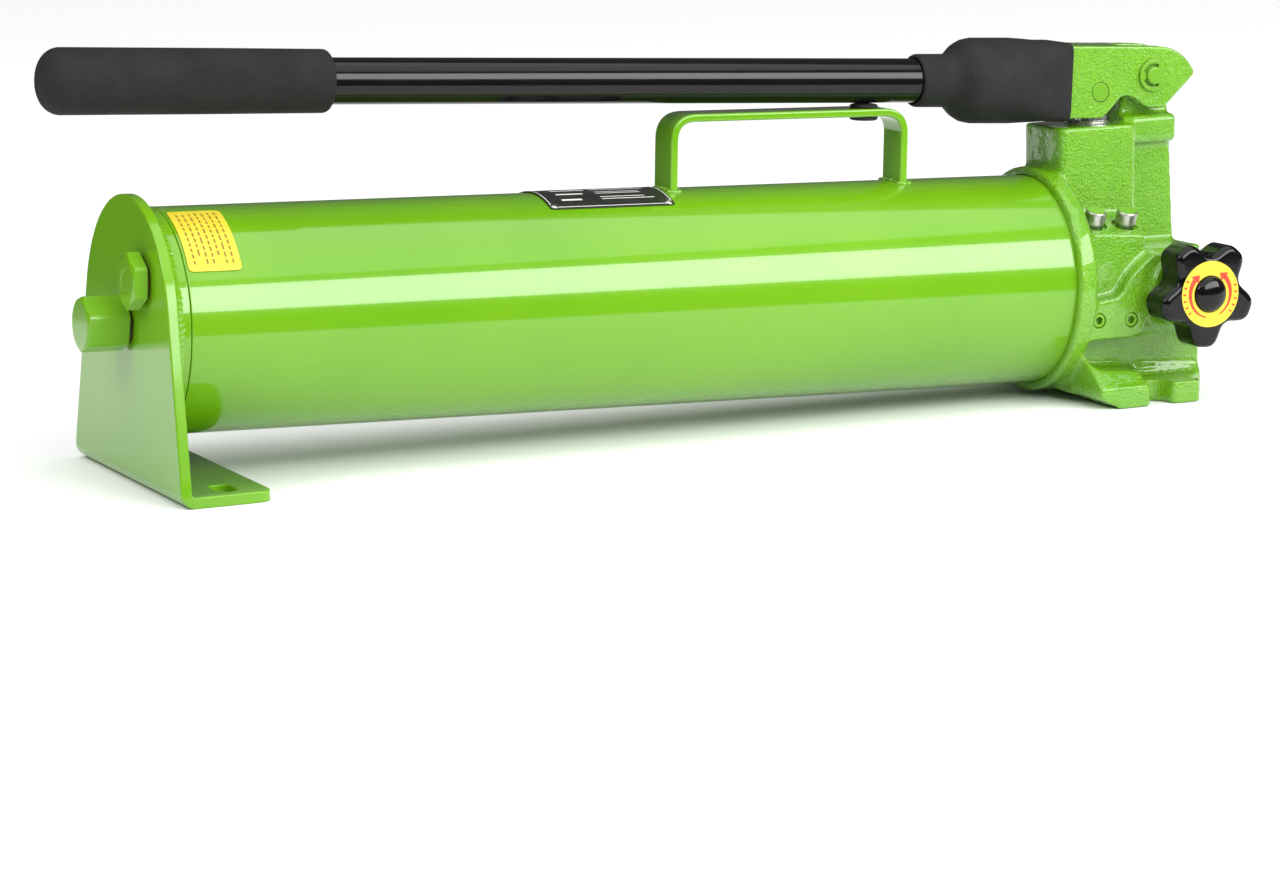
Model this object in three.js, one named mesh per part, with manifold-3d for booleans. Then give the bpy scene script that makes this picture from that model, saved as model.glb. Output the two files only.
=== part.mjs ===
// Hydraulic hand pump: cast pump head, oil reservoir, carrying handle and pump lever.
// Millimetres, +Z up. The origin is the middle of the pump head's underside.
// +X runs from the reservoir to the pump head, and -Y is the side with the release knob.
import * as THREE from 'three';
import { mergeVertices } from 'three/addons/utils/BufferGeometryUtils.js';
import Module from 'manifold-3d';

const wasm = await Module();
wasm.setup();

// ---------------------------------------------------------------- driving dimensions

const GAP = 0.3;                                   // between touching pieces
const ROUND = 48;                                  // facets round the reservoir
const degrees = THREE.MathUtils.degToRad;

const TANK_TILT = degrees(1.87);                   // the reservoir falls towards the head
const TANK_START = [-46.8, 0, 67.6];               // middle of the head's collar face
const TUBE_R = 60;
const TUBE_WALL = 4;
const TUBE_REAR = -526.9;                          // along the tank axis, from the collar face
const COLLAR = { r: 65, length: 11, groove: 9, spigot: 6 };
const CAP = { front: -527.2, rear: -536, spigotEnd: -512 };
const PLATE = { outer: -542.3, inner: -536.3 };
const ROD_R = 7.9;
const NUT = { across: 27, length: 23, rear: -567.4 };
const FILLER = { y: -28, z: 25.5, across: 27, head: 8, shankR: 9 };
const WASHER = { nutR: 13, plugR: 12.6, thick: 1.3 };

const BRACKET = { topR: 67.1, flare: 0.211, thick: 6, end: -541, bend: 8 };
const BRACKET_SLOT = { x: -562.5, y: 68, width: 11, length: 20 };

const STRAP = { rear: -229.8, front: -86, top: 101.6, thick: 4.5, width: 22, corner: 15 };
const BUMPER = { x: -106.9, r: 8, stemR: 5, proud: 2.2, below: 2.3 };

const NAMEPLATE = { rear: -311.4, front: -236.8, half: degrees(26.5), thick: 0.5 };
const RIVET = { inset: 3, angle: degrees(24), r: 2.3 };
const LABEL = { rear: -525.4, front: -496.4, from: degrees(14), to: degrees(58), thick: 0.4 };

const BASE = { rear: -26, front: 30, halfWidth: 73, thick: 13 };
const FOOT_SLOT = { x: 2.5, width: 13.5, end: 65 };
const BLOCK = { rear: -34, front: 17, halfWidth: 22, top: 155.5, corner: 4 };
const BODY = { rear: -38, front: 5, halfWidth: 50, ledge: 96.8, slope: degrees(18), lean: degrees(4) };
const SIDE_BLOCK = { front: 47, halfWidth: 44, top: 86 };
const PAD_FACE = 58;                               // distance of the valve pad from the middle
const PLUNGER_X = -3.6;
const PLUNGER_R = 11;
const GLAND_R = 13.5;
const PORT = { z: 42, r: 8.6, depth: 16, bossR: 19, face: 50 };

const KNOB = { x: 25, z: 64, back: -66.5, face: -86.5, tipR: 31, valleyR: 21.5, lobes: 5, turn: degrees(49) };
const KNOB_LABEL = { inner: 10.6, outer: 18.9, thick: 0.3 };
const KNOB_CAP = { r: 10.2, stemR: 5.9, stem: -79, rise: 4.6 };
const KNOB_GRUB = { r: 2.3, bore: 2.6, head: 13, reach: 24 };
const SPINDLE_R = 6;
const BOSS = { r: 22, face: -62 };
const RELEASE_SEAT = -14;
const VALVE_CAP = { r: 6, shankR: 5, shank: 12, height: 9 };
const VALVE_BALL = { r: 3.6, seatR: 2, depth: 30 };
const VALVE_SPRING = { r: 3.8, wire: 1, length: 8.4, turns: 5 };
const SUCTION_BALL = { r: 4.4, seatR: 3, seat: 52.2 };
const RELIEF_BALL = { r: 2.8, seatR: 1.5, depth: 26 };
const RELIEF_SPRING = { r: 3, wire: 0.9, length: 9, turns: 5, depth: 9 };
const SET_SCREW = { r: 4, length: 8, chamfer: 0.8, socketR: 2.4, socket: 4, sunk: 0.6 };

const PIVOT = [30, 0, 182.2];
const LEVER_TILT = degrees(3.1);
const PIN_R = 5.5;
const PISTON_PIN = { x: -34.1, z: -9.8 };          // from the pivot, along the lever
const LEVER_HALF = 16;
const FORK_HALF = 7.3;
const HANDLE_Z = -4.3;                             // handle axis below the pivot, along the lever
const HANDLE_R = 12.5;
const SOCKET = { r: 20.8, rear: -122, bottom: -66 };
const GRIP = { rear: -662.4, front: -503.1, r: 17.5 };
const BOOT = { rim: -148.7, neck: -128.6, neckR: 15, bodyR: 24.5, mouth: -54 };

// ---------------------------------------------------------------- materials

const paint = { color: 0x7ac832, roughness: 0.28, metalness: 0 };
const casting = { color: 0x7cc934, roughness: 0.42, metalness: 0 };
const blackGloss = { color: 0x0c0d0d, roughness: 0.15, metalness: 0 };
const foam = { color: 0x333435, roughness: 0.9, metalness: 0 };
const rubber = { color: 0x1c1d1e, roughness: 0.7, metalness: 0 };
const steel = { color: 0xb9b8b2, roughness: 0.28, metalness: 1 };
const springSteel = { color: 0x8f9296, roughness: 0.35, metalness: 1 };
const copper = { color: 0xb87348, roughness: 0.4, metalness: 1 };
const mesh = { color: 0xc2a35a, roughness: 0.5, metalness: 1 };
const foilBlack = { color: 0x22251f, roughness: 0.35, metalness: 0 };
const foilYellow = { color: 0xf2df2c, roughness: 0.4, metalness: 0 };

// ---------------------------------------------------------------- solids

function solid(geometry) {
  const bare = geometry.clone();
  bare.deleteAttribute('normal');
  bare.deleteAttribute('uv');
  const merged = mergeVertices(bare, 1e-4);
  return new wasm.Manifold(new wasm.Mesh({
    numProp: 3,
    vertProperties: new Float32Array(merged.attributes.position.array),
    triVerts: new Uint32Array(merged.index.array),
  }));
}

function join(...geometries) {
  return geometries.map(solid).reduce((whole, next) => whole.add(next));
}

function cut(body, ...tools) {
  return tools.map(solid).reduce((whole, tool) => whole.subtract(tool), body);
}

function toGeometry(manifold) {
  const { vertProperties, triVerts } = manifold.getMesh();
  const geometry = new THREE.BufferGeometry();
  geometry.setAttribute('position', new THREE.BufferAttribute(vertProperties, 3));
  geometry.setIndex(new THREE.BufferAttribute(triVerts, 1));
  return geometry;
}

function node(parent, name, shape, look) {
  const geometry = toGeometry(shape.isBufferGeometry ? solid(shape) : shape);
  const piece = new THREE.Mesh(geometry, new THREE.MeshStandardMaterial(look));
  piece.name = name;
  parent.add(piece);
  return piece;
}

// ---------------------------------------------------------------- shapes

function box(x0, x1, y0, y1, z0, z1) {
  const geometry = new THREE.BoxGeometry(x1 - x0, y1 - y0, z1 - z0);
  return geometry.translate((x0 + x1) / 2, (y0 + y1) / 2, (z0 + z1) / 2);
}

function outline(points) {
  return new THREE.Shape(points.map(([x, y]) => new THREE.Vector2(x, y)));
}

function roundedRect(x0, x1, y0, y1, r) {
  const shape = new THREE.Shape();
  shape.moveTo(x0 + r, y0);
  shape.lineTo(x1 - r, y0);
  shape.absarc(x1 - r, y0 + r, r, -Math.PI / 2, 0);
  shape.absarc(x1 - r, y1 - r, r, 0, Math.PI / 2);
  shape.absarc(x0 + r, y1 - r, r, Math.PI / 2, Math.PI);
  shape.absarc(x0 + r, y0 + r, r, Math.PI, Math.PI * 1.5);
  return shape;
}

function prismX(shape, x0, x1, curveSegments = 8) {
  const geometry = new THREE.ExtrudeGeometry(shape, { depth: x1 - x0, bevelEnabled: false, curveSegments });
  const turn = new THREE.Matrix4().makeBasis(
    new THREE.Vector3(0, 1, 0), new THREE.Vector3(0, 0, 1), new THREE.Vector3(1, 0, 0));
  return geometry.applyMatrix4(turn).translate(x0, 0, 0);
}

function prismY(shape, y0, y1, curveSegments = 8) {
  const geometry = new THREE.ExtrudeGeometry(shape, { depth: y1 - y0, bevelEnabled: false, curveSegments });
  return geometry.rotateX(Math.PI / 2).translate(0, y1, 0);
}

function prismZ(shape, z0, z1, curveSegments = 8) {
  const geometry = new THREE.ExtrudeGeometry(shape, { depth: z1 - z0, bevelEnabled: false, curveSegments });
  return geometry.translate(0, 0, z0);
}

// A turned solid: profile points are [radius, distance along the axis].
function turned(profile, segments = 20) {
  const points = profile.map(([r, h]) => new THREE.Vector2(r, h));
  return new THREE.LatheGeometry(points, segments);
}

function turnedX(profile, segments) {
  return turned(profile, segments).rotateZ(-Math.PI / 2);
}

function turnedZ(profile, segments) {
  return turned(profile, segments).rotateX(Math.PI / 2);
}

function rodProfile(r, from, to) {
  return [[0, from], [r, from], [r, to], [0, to]];
}

function ringProfile(inner, outer, from, to) {
  return [[inner, from], [outer, from], [outer, to], [inner, to], [inner, from]];
}

function rodX(r, x0, x1, y = 0, z = 0, segments = 16) {
  return turnedX(rodProfile(r, x0, x1), segments).translate(0, y, z);
}

function rodY(r, y0, y1, x = 0, z = 0, segments = 16) {
  return turned(rodProfile(r, y0, y1), segments).translate(x, 0, z);
}

function rodZ(r, z0, z1, x = 0, y = 0, segments = 16) {
  return turnedZ(rodProfile(r, z0, z1), segments).translate(x, y, 0);
}

// A round bar or drilled hole between two points.
function drill(from, to, r, segments = 8) {
  const start = new THREE.Vector3(...from);
  const along = new THREE.Vector3(...to).sub(start);
  const length = along.length();
  const turn = new THREE.Quaternion().setFromUnitVectors(new THREE.Vector3(0, 1, 0), along.normalize());
  return turned(rodProfile(r, 0, length), segments).applyQuaternion(turn).translate(...from);
}

// A six-sided bar along +Y with its outer end chamfered, corners turned by an angle.
function hexBar(across, length, chamfer, turn = 0) {
  const corner = across / Math.sqrt(3);
  const bar = new THREE.CylinderGeometry(corner, corner, length, 6).rotateY(turn).translate(0, length / 2, 0);
  const crown = turned([[0, 0], [corner + 1, 0], [corner + 1, length - chamfer],
    [across / 2 - 0.6, length], [0, length]], 36);
  return toGeometry(solid(bar).intersect(solid(crown)));
}

function ball(r, x, y, z) {
  return new THREE.SphereGeometry(r, 10, 6).translate(x, y, z);
}

function oRing(centre, section, at) {
  const sides = 6;
  const points = [];
  for (let i = 0; i <= sides; i += 1) {
    const angle = (i / sides) * Math.PI * 2;
    points.push([centre + section * Math.cos(angle), at + section * Math.sin(angle)]);
  }
  return turned(points, 32);
}

class Helix extends THREE.Curve {
  constructor(r, length, turns) {
    super();
    Object.assign(this, { r, length, turns });
  }

  getPoint(t) {
    const angle = t * this.turns * Math.PI * 2;
    return new THREE.Vector3(this.r * Math.cos(angle), t * this.length, this.r * Math.sin(angle));
  }
}

// A coil spring that stands on the origin and runs along +Y.
function coilSpring(r, wire, length, turns) {
  const section = new THREE.Shape();
  section.absarc(0, 0, wire / 2, 0, Math.PI * 2);
  const coil = new Helix(r - wire / 2, length - wire, turns);
  return new THREE.ExtrudeGeometry(section, { steps: turns * 8, curveSegments: 2, extrudePath: coil })
    .translate(0, wire / 2, 0);
}

function pointing(geometry, at, direction) {
  const turn = new THREE.Quaternion().setFromUnitVectors(
    new THREE.Vector3(0, 1, 0), new THREE.Vector3(...direction).normalize());
  return geometry.applyQuaternion(turn).translate(...at);
}

// ---------------------------------------------------------------- groups

const pump = new THREE.Group();
const tank = new THREE.Group();
tank.position.set(...TANK_START);
tank.rotation.y = TANK_TILT;
const lever = new THREE.Group();
lever.position.set(...PIVOT);
lever.rotation.y = LEVER_TILT;
pump.add(tank, lever);
pump.updateMatrixWorld(true);

const fromTank = (geometry) => geometry.applyMatrix4(tank.matrixWorld);

// ---------------------------------------------------------------- reservoir

function reservoirTube() {
  return turnedX(ringProfile(TUBE_R - TUBE_WALL, TUBE_R, TUBE_REAR, COLLAR.groove - GAP), ROUND);
}

const INSIDE = TUBE_R - TUBE_WALL - GAP;
const SEAL = { section: 1.4, groove: INSIDE - 3.1, width: 3.6 };

function rearEndCap() {
  const sealAt = CAP.spigotEnd - 5;
  const body = solid(turnedX([[0, CAP.rear], [TUBE_R, CAP.rear], [TUBE_R, CAP.front], [INSIDE, CAP.front],
    [INSIDE, sealAt - SEAL.width / 2], [SEAL.groove, sealAt - SEAL.width / 2],
    [SEAL.groove, sealAt + SEAL.width / 2], [INSIDE, sealAt + SEAL.width / 2],
    [INSIDE, CAP.spigotEnd], [0, CAP.spigotEnd]], ROUND));
  return cut(body, rodX(ROD_R + 0.4, CAP.rear - 1, CAP.spigotEnd + 1),
    rodX(FILLER.shankR + 0.4, CAP.rear - 1, CAP.spigotEnd + 1, FILLER.y, FILLER.z));
}

function sealRing(at) {
  return oRing(INSIDE - SEAL.section, SEAL.section, at).rotateZ(-Math.PI / 2);
}

// The plate's outline across the tank: a round top whose sides flare out to the floor.
function bracketFront() {
  const { topR, flare } = BRACKET;
  const lean = Math.atan(flare);
  const floor = -100;
  const wide = topR * Math.cos(lean) + flare * (topR * Math.sin(lean) - floor);
  const shape = new THREE.Shape();
  shape.moveTo(-wide, floor);
  shape.lineTo(wide, floor);
  shape.absarc(0, 0, topR, lean, Math.PI - lean);
  return shape;
}

// The plate and its foot seen from the side: one strip of plate bent to an L.
function bracketSide() {
  const { thick, end, bend } = BRACKET;
  const slope = Math.tan(TANK_TILT);
  const outer = TANK_START[0] + PLATE.outer / Math.cos(TANK_TILT) - TANK_START[2] * slope;
  const at = (offset, z) => [outer + offset + slope * z, z];
  const top = 170;
  const shape = new THREE.Shape();
  shape.moveTo(end, 0);
  shape.lineTo(outer + bend, 0);
  shape.quadraticCurveTo(...at(0, 0), ...at(0, bend));
  shape.lineTo(...at(0, top));
  shape.lineTo(...at(thick, top));
  shape.lineTo(...at(thick, bend));
  shape.quadraticCurveTo(...at(thick, thick), outer + bend, thick);
  shape.lineTo(end, thick);
  return shape;
}

function rearBracket() {
  const wide = 100;
  const foot = roundedRect(BRACKET.end - 90, BRACKET.end, -87.5, 87.5, 9);
  const strip = solid(prismY(bracketSide(), -wide, wide, 5))
    .intersect(solid(fromTank(prismX(bracketFront(), PLATE.outer - 20, PLATE.outer + 90, 24))))
    .intersect(solid(prismZ(foot, -1, 200, 6)));
  const { x, y, width, length } = BRACKET_SLOT;
  const slot = (side) => prismZ(roundedRect(x - width / 2, x + width / 2,
    side * y - length / 2, side * y + length / 2, width / 2 - 0.01), -1, 20);
  return cut(strip, slot(-1), slot(1),
    fromTank(rodX(ROD_R + 0.4, PLATE.outer - 5, PLATE.inner + 5)),
    fromTank(rodX(FILLER.shankR + 0.4, PLATE.outer - 5, PLATE.inner + 5, FILLER.y, FILLER.z)));
}

function tieRodNut() {
  const bar = hexBar(NUT.across, NUT.length, 3, degrees(20)).rotateZ(Math.PI / 2)
    .translate(NUT.rear + NUT.length, 0, 0);
  return cut(solid(bar), rodX(ROD_R + GAP, NUT.rear + 8, NUT.rear + NUT.length + 1));
}

// A copper washer against the outside of the rear plate.
function washer(shankR, outerR) {
  const face = PLATE.outer - GAP;
  return turnedX(ringProfile(shankR + GAP, outerR, face - WASHER.thick, face));
}

function fillerPlug() {
  const seat = PLATE.outer - GAP - WASHER.thick - GAP;
  const head = hexBar(FILLER.across, FILLER.head, 2.4, degrees(30)).rotateZ(Math.PI / 2)
    .translate(seat, 0, 0);
  const shank = rodX(FILLER.shankR, seat - 1, CAP.spigotEnd - 2);
  const recess = rodX(6, seat - FILLER.head - 1, seat - FILLER.head + 0.6);
  return cut(join(head, shank), recess);
}

function carryHandle() {
  const { rear, front, top, thick, width, corner } = STRAP;
  const half = thick / 2;
  const arch = (x0, x1, z1, r) => {
    const shape = new THREE.Shape();
    shape.moveTo(x0, 40);
    shape.lineTo(x1, 40);
    shape.lineTo(x1, z1 - r);
    shape.absarc(x1 - r, z1 - r, r, 0, Math.PI / 2);
    shape.absarc(x0 + r, z1 - r, r, Math.PI / 2, Math.PI);
    return shape;
  };
  const outer = solid(prismY(arch(rear - half, front + half, top, corner), -width / 2, width / 2, 8));
  return cut(outer, prismY(arch(rear + half, front - half, top - thick, corner - thick), -width, width, 8),
    rodX(TUBE_R + GAP, rear - 20, front + 20, 0, 0, ROUND),
    rodZ(BUMPER.stemR + GAP, top - thick - 1, top + 1, BUMPER.x));
}

function handleBumper() {
  const { top, thick } = STRAP;
  const { x, r, stemR, proud, below } = BUMPER;
  const under = top - thick - GAP;
  const over = top + GAP;
  const button = [[0, under - below], [r - 1, under - below], [r, under - below + 1], [r, under]];
  const upper = [[r, over], [r, over + proud - 1], [r - 1, over + proud - GAP], [0, over + proud - GAP]];
  return turnedZ([...button, [stemR, under], [stemR, over], ...upper], 20).translate(x, 0, 0);
}

// A thin sheet that lies on the tube between two angles, measured from the top towards -Y.
function sheetOnTube(from, to, rear, front, thick) {
  const inner = TUBE_R + GAP;
  const shape = new THREE.Shape();
  shape.absarc(0, 0, inner + thick, Math.PI / 2 + from, Math.PI / 2 + to);
  shape.absarc(0, 0, inner, Math.PI / 2 + to, Math.PI / 2 + from, true);
  return prismX(shape, rear, front, 10);
}

function rivet(x, angle) {
  const head = turnedZ([[0, 0], [RIVET.r, 0], [RIVET.r - 0.2, 0.5], [RIVET.r / 2, 0.9], [0, 1]], 12);
  const seat = TUBE_R + GAP + NAMEPLATE.thick + GAP;
  return head.translate(0, 0, seat).rotateX(angle).translate(x, 0, 0);
}

function suctionTube() {
  return turnedX(ringProfile(3, 5, -44, 4), 20);
}

function suctionFilter() {
  const socket = [[5 + GAP, -34], [5 + GAP, -46], [0, -46]];
  return turnedX([[0, -70], [10, -70], [11, -69], [11, -35], [10, -34], ...socket], 20);
}

const INTAKE_Z = -38;                              // below the tank axis

node(tank, 'reservoir_tube', reservoirTube(), paint);
node(tank, 'rear_end_cap', rearEndCap(), paint);
node(tank, 'tube_seal_rear', sealRing(CAP.spigotEnd - 5), rubber);
node(tank, 'tube_seal_front', sealRing(-COLLAR.spigot + 3), rubber);
node(pump, 'rear_bracket', rearBracket(), paint);
node(tank, 'tie_rod', rodX(ROD_R, NUT.rear + 9, 20), steel);
node(tank, 'tie_rod_washer', washer(ROD_R, WASHER.nutR), copper);
node(tank, 'tie_rod_nut', tieRodNut(), paint);
node(tank, 'filler_seal', washer(FILLER.shankR, WASHER.plugR).translate(0, FILLER.y, FILLER.z), copper);
node(tank, 'filler_plug', fillerPlug(), paint).position.set(0, FILLER.y, FILLER.z);
node(tank, 'carry_handle', carryHandle(), paint);
node(tank, 'handle_bumper', handleBumper(), rubber);
node(tank, 'nameplate', sheetOnTube(-NAMEPLATE.half, NAMEPLATE.half, NAMEPLATE.rear, NAMEPLATE.front,
  NAMEPLATE.thick), foilBlack);
[NAMEPLATE.rear + RIVET.inset, NAMEPLATE.front - RIVET.inset].forEach((x, end) => {
  node(tank, `nameplate_rivet_${2 * end + 1}`, rivet(x, RIVET.angle), steel);
  node(tank, `nameplate_rivet_${2 * end + 2}`, rivet(x, -RIVET.angle), steel);
});
node(tank, 'instruction_label', sheetOnTube(LABEL.from, LABEL.to, LABEL.rear, LABEL.front,
  LABEL.thick), foilYellow);
node(tank, 'suction_tube', suctionTube().translate(0, 0, INTAKE_Z), steel);
node(tank, 'suction_filter', suctionFilter().translate(0, 0, INTAKE_Z), mesh);

// ---------------------------------------------------------------- pump head casting

const DISCHARGE = { x: -22.3, y: -37.5, z: 101.6 };
const UNLOADER = { x: -1.6, y: -37.5, z: 100.2 };
const VALVE_DOWN = [0, Math.sin(BODY.slope), -Math.cos(BODY.slope)];
const RELIEF = { x: -30.3, z: 49.2 };
const GALLERY = { x: -9, z: 48.2 };

const along = (start, direction, distance) => start.map((value, i) => value + direction[i] * distance);
const valvePoint = ({ x, y, z }, depth) => along([x, y, z], VALVE_DOWN, depth);

function collar() {
  const sealAt = -COLLAR.spigot + 3;
  const body = solid(turnedX([[0, -COLLAR.spigot], [INSIDE, -COLLAR.spigot],
    [INSIDE, sealAt - SEAL.width / 2],
    [SEAL.groove, sealAt - SEAL.width / 2], [SEAL.groove, sealAt + SEAL.width / 2],
    [INSIDE, sealAt + SEAL.width / 2], [INSIDE, COLLAR.groove], [TUBE_R + GAP, COLLAR.groove],
    [TUBE_R + GAP, 0], [COLLAR.r - 1, 0], [COLLAR.r, 1], [COLLAR.r, COLLAR.length - 2],
    [COLLAR.r - 3, COLLAR.length], [0, COLLAR.length]], ROUND));
  return solid(fromTank(toGeometry(body)));
}

// One side of the lower body: its top is a ledge that slopes outwards for the valve caps.
function sideBody(side) {
  const { rear, front, halfWidth, ledge, slope, lean } = BODY;
  const block = side < 0
    ? box(rear, front, -halfWidth, -10, 20, 120)
    : box(rear, front, 10, halfWidth, 20, 120);
  const above = new THREE.BoxGeometry(120, 160, 60).translate(0, 0, 30)
    .rotateX(-side * slope).rotateY(lean).translate(-13, side * halfWidth, ledge);
  return cut(solid(block), above);
}

// The pad that carries the two front screws, joined to the release valve's boss.
function valvePad(side) {
  const shape = new THREE.Shape();
  shape.moveTo(-38, 38);
  shape.lineTo(-9, 38);
  shape.absarc(-9, 48, 10, -Math.PI / 2, 0);
  shape.lineTo(4, 46);
  shape.lineTo(14, 85);
  shape.lineTo(5.6, 85);
  shape.quadraticCurveTo(-9, 76, -14, 66);
  shape.quadraticCurveTo(-16, 62, -22, 61.5);
  shape.lineTo(-38, 60);
  return side < 0 ? prismY(shape, -PAD_FACE, -30) : prismY(shape, 30, PAD_FACE);
}

function basePlan() {
  const { rear, front, halfWidth } = BASE;
  const { x, width, end } = FOOT_SLOT;
  const shape = new THREE.Shape();
  const near = x - width / 2;
  const far = x + width / 2;
  shape.moveTo(rear, -halfWidth);
  shape.lineTo(near - 2, -halfWidth);
  shape.lineTo(near, -halfWidth + 2);
  shape.lineTo(near, -end);
  shape.absarc(x, -end, width / 2, Math.PI, 0, true);
  shape.lineTo(far, -halfWidth + 2);
  shape.lineTo(far + 2, -halfWidth);
  shape.lineTo(front - 3, -halfWidth);
  shape.lineTo(front, -halfWidth + 4);
  shape.lineTo(front, -56);
  shape.lineTo(SIDE_BLOCK.front, -SIDE_BLOCK.halfWidth);
  shape.lineTo(SIDE_BLOCK.front, SIDE_BLOCK.halfWidth);
  shape.lineTo(front, 56);
  shape.lineTo(front, halfWidth - 4);
  shape.lineTo(front - 3, halfWidth);
  shape.lineTo(far + 2, halfWidth);
  shape.lineTo(far, halfWidth - 2);
  shape.lineTo(far, end);
  shape.absarc(x, end, width / 2, 0, Math.PI, true);
  shape.lineTo(near, halfWidth - 2);
  shape.lineTo(near - 2, halfWidth);
  shape.lineTo(rear, halfWidth);
  return shape;
}

// The skirt between the collar and the base: its sides fall outwards to the feet.
function skirt() {
  const sides = [[72, 12], [54, 26], [44, 40], [-44, 40], [-54, 26], [-72, 12]];
  const outlineYZ = outline([[-72, 2], [72, 2], ...sides]);
  const floor = outline([[-72, 0], [72, 0], ...sides]);
  const front = prismX(floor, BASE.rear, -6);
  const rear = prismX(outlineYZ, -37.5, BASE.rear + 1);
  const slope = outline([[-37.5, 40], [-37.5, 6], [BASE.rear, 0], [BASE.rear + 2, 0], [BASE.rear + 2, 40]]);
  return join(front).add(solid(rear).intersect(solid(prismY(slope, -80, 80))));
}

function tower() {
  const web = prismX(outline([[-14, 80], [14, 80], [9.5, 143], [-9.5, 143]]), 10, SIDE_BLOCK.front);
  const cap = prismX(roundedRect(-15.5, 15.5, 142.5, 159.5, 4), 12, SIDE_BLOCK.front, 4);
  return join(web, cap);
}

// The fulcrum ear between the lever's cheeks, round about the pivot.
function ear() {
  const [x, , z] = PIVOT;
  const r = 14.5;
  const shape = new THREE.Shape();
  shape.moveTo(SIDE_BLOCK.front, 150);
  shape.lineTo(SIDE_BLOCK.front, z - 13);
  shape.lineTo(x + r, z - 6);
  shape.absarc(x, z, r, 0, Math.PI);
  shape.lineTo(x - r - 0.5, 168);
  shape.quadraticCurveTo(x - r - 1, BLOCK.top + 1, x - r - 6, BLOCK.top - 1);
  shape.lineTo(x - r - 6, 150);
  return prismY(shape, -6.8, 6.8, 12);
}

function undercut(side) {
  const shape = new THREE.Shape();
  shape.moveTo(-27, 21);
  shape.lineTo(60, 15);
  shape.lineTo(60, 20);
  shape.lineTo(26, 37);
  shape.lineTo(-27, 38);
  shape.absarc(-27, 29.5, 8.5, Math.PI / 2, Math.PI * 1.5);
  return side < 0 ? prismY(shape, -80, -42) : prismY(shape, 42, 80);
}

function pumpCylinder() {
  return [
    rodZ(GLAND_R + GAP, 122, 160, PLUNGER_X, 0, 24),
    rodZ(PLUNGER_R + GAP, 66, 123, PLUNGER_X, 0, 24),
    rodZ(5.2, 52, 67, PLUNGER_X, 0, 12),
    rodZ(3, 29, 53, PLUNGER_X, 0, 8),
    fromTank(rodX(3, -COLLAR.spigot - 1, TANK_START[0] * -1 + PLUNGER_X + 3, 0, INTAKE_Z, 8)),
    fromTank(rodX(5 + GAP, -COLLAR.spigot - 1, 4.5, 0, INTAKE_Z, 20)),
    fromTank(rodX(ROD_R + GAP, -COLLAR.spigot - 1, 21)),
  ];
}

function valveBore(seat) {
  return [
    drill(valvePoint(seat, -3), valvePoint(seat, 1.2), 8, 16),
    drill(valvePoint(seat, -1), valvePoint(seat, 14), 5.3, 14),
    drill(valvePoint(seat, 13), valvePoint(seat, 31), 4.4, 10),
    drill(valvePoint(seat, 30), valvePoint(seat, 40), 2, 6),
  ];
}

function passages() {
  const dischargeEnd = valvePoint(DISCHARGE, 39);
  const unloaderEnd = valvePoint(UNLOADER, 39);
  return [
    ...valveBore(DISCHARGE),
    ...valveBore(UNLOADER),
    drill(dischargeEnd, [PLUNGER_X, 0, 60], 1.8, 6),
    drill(unloaderEnd, [PLUNGER_X, -4, 62], 1.8, 6),
    drill(valvePoint(DISCHARGE, 20), [KNOB.x, 3, KNOB.z], 1.8, 6),
    drill([KNOB.x, 3, KNOB.z], [PORT.face - PORT.depth + 1, 0, PORT.z], 1.8, 6),
    rodY(4.3, -PAD_FACE - 1, -PAD_FACE + 10, RELIEF.x, RELIEF.z, 14),
    rodY(3.4, -PAD_FACE + 9, -PAD_FACE + 26, RELIEF.x, RELIEF.z, 10),
    rodY(1.5, -PAD_FACE + 25, -PAD_FACE + 36, RELIEF.x, RELIEF.z, 6),
    rodY(4.3, -PAD_FACE - 1, -PAD_FACE + 10, GALLERY.x, GALLERY.z, 14),
    rodY(1.8, -PAD_FACE + 9, -PAD_FACE + 34, GALLERY.x, GALLERY.z, 6),
  ];
}

function releaseBore() {
  const { x, z } = KNOB;
  return [
    rodY(SPINDLE_R + GAP, BOSS.face - 1, RELEASE_SEAT, x, z, 20),
    rodY(10 + GAP, BOSS.face - 1, BOSS.face + 18, x, z, 20),
    rodY(2, RELEASE_SEAT - 1, 5, x, z, 8),
  ];
}

function pumpHead() {
  const upper = prismZ(roundedRect(BLOCK.rear, BLOCK.front, -BLOCK.halfWidth, BLOCK.halfWidth, BLOCK.corner),
    40, BLOCK.top, 4);
  const lower = prismZ(roundedRect(0, SIDE_BLOCK.front, -SIDE_BLOCK.halfWidth, SIDE_BLOCK.halfWidth, 3),
    0, SIDE_BLOCK.top, 3);
  const core = box(BODY.rear, 10, -40, 40, 5, 95);
  const base = prismZ(basePlan(), 0, BASE.thick, 6);
  const boss = rodY(BOSS.r, BOSS.face, -30, KNOB.x, KNOB.z, 24);
  const portBoss = rodX(PORT.bossR, 30, PORT.face, 0, PORT.z, 20);
  const body = join(upper, lower, core, base, boss, portBoss)
    .add(sideBody(-1)).add(sideBody(1)).add(solid(valvePad(-1))).add(solid(valvePad(1)))
    .add(skirt()).add(tower()).add(solid(ear()));
  const hollow = fromTank(rodX(COLLAR.r + 20, -60, 0.5, 0, 0, 48));
  const tubeGroove = fromTank(turnedX(
    ringProfile(INSIDE, TUBE_R + GAP, -COLLAR.spigot - 1, COLLAR.groove), ROUND));
  return cut(cut(body, hollow, undercut(-1), undercut(1)).add(collar()), tubeGroove,
    ...pumpCylinder(), ...passages(), ...releaseBore(),
    rodX(PORT.r, PORT.face - PORT.depth, PORT.face + 1, 0, PORT.z, 20),
    rodY(PIN_R + GAP, -20, 20, PIVOT[0], PIVOT[2], 20));
}

node(pump, 'pump_head', pumpHead(), casting);

// ---------------------------------------------------------------- cylinder and valves

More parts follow.
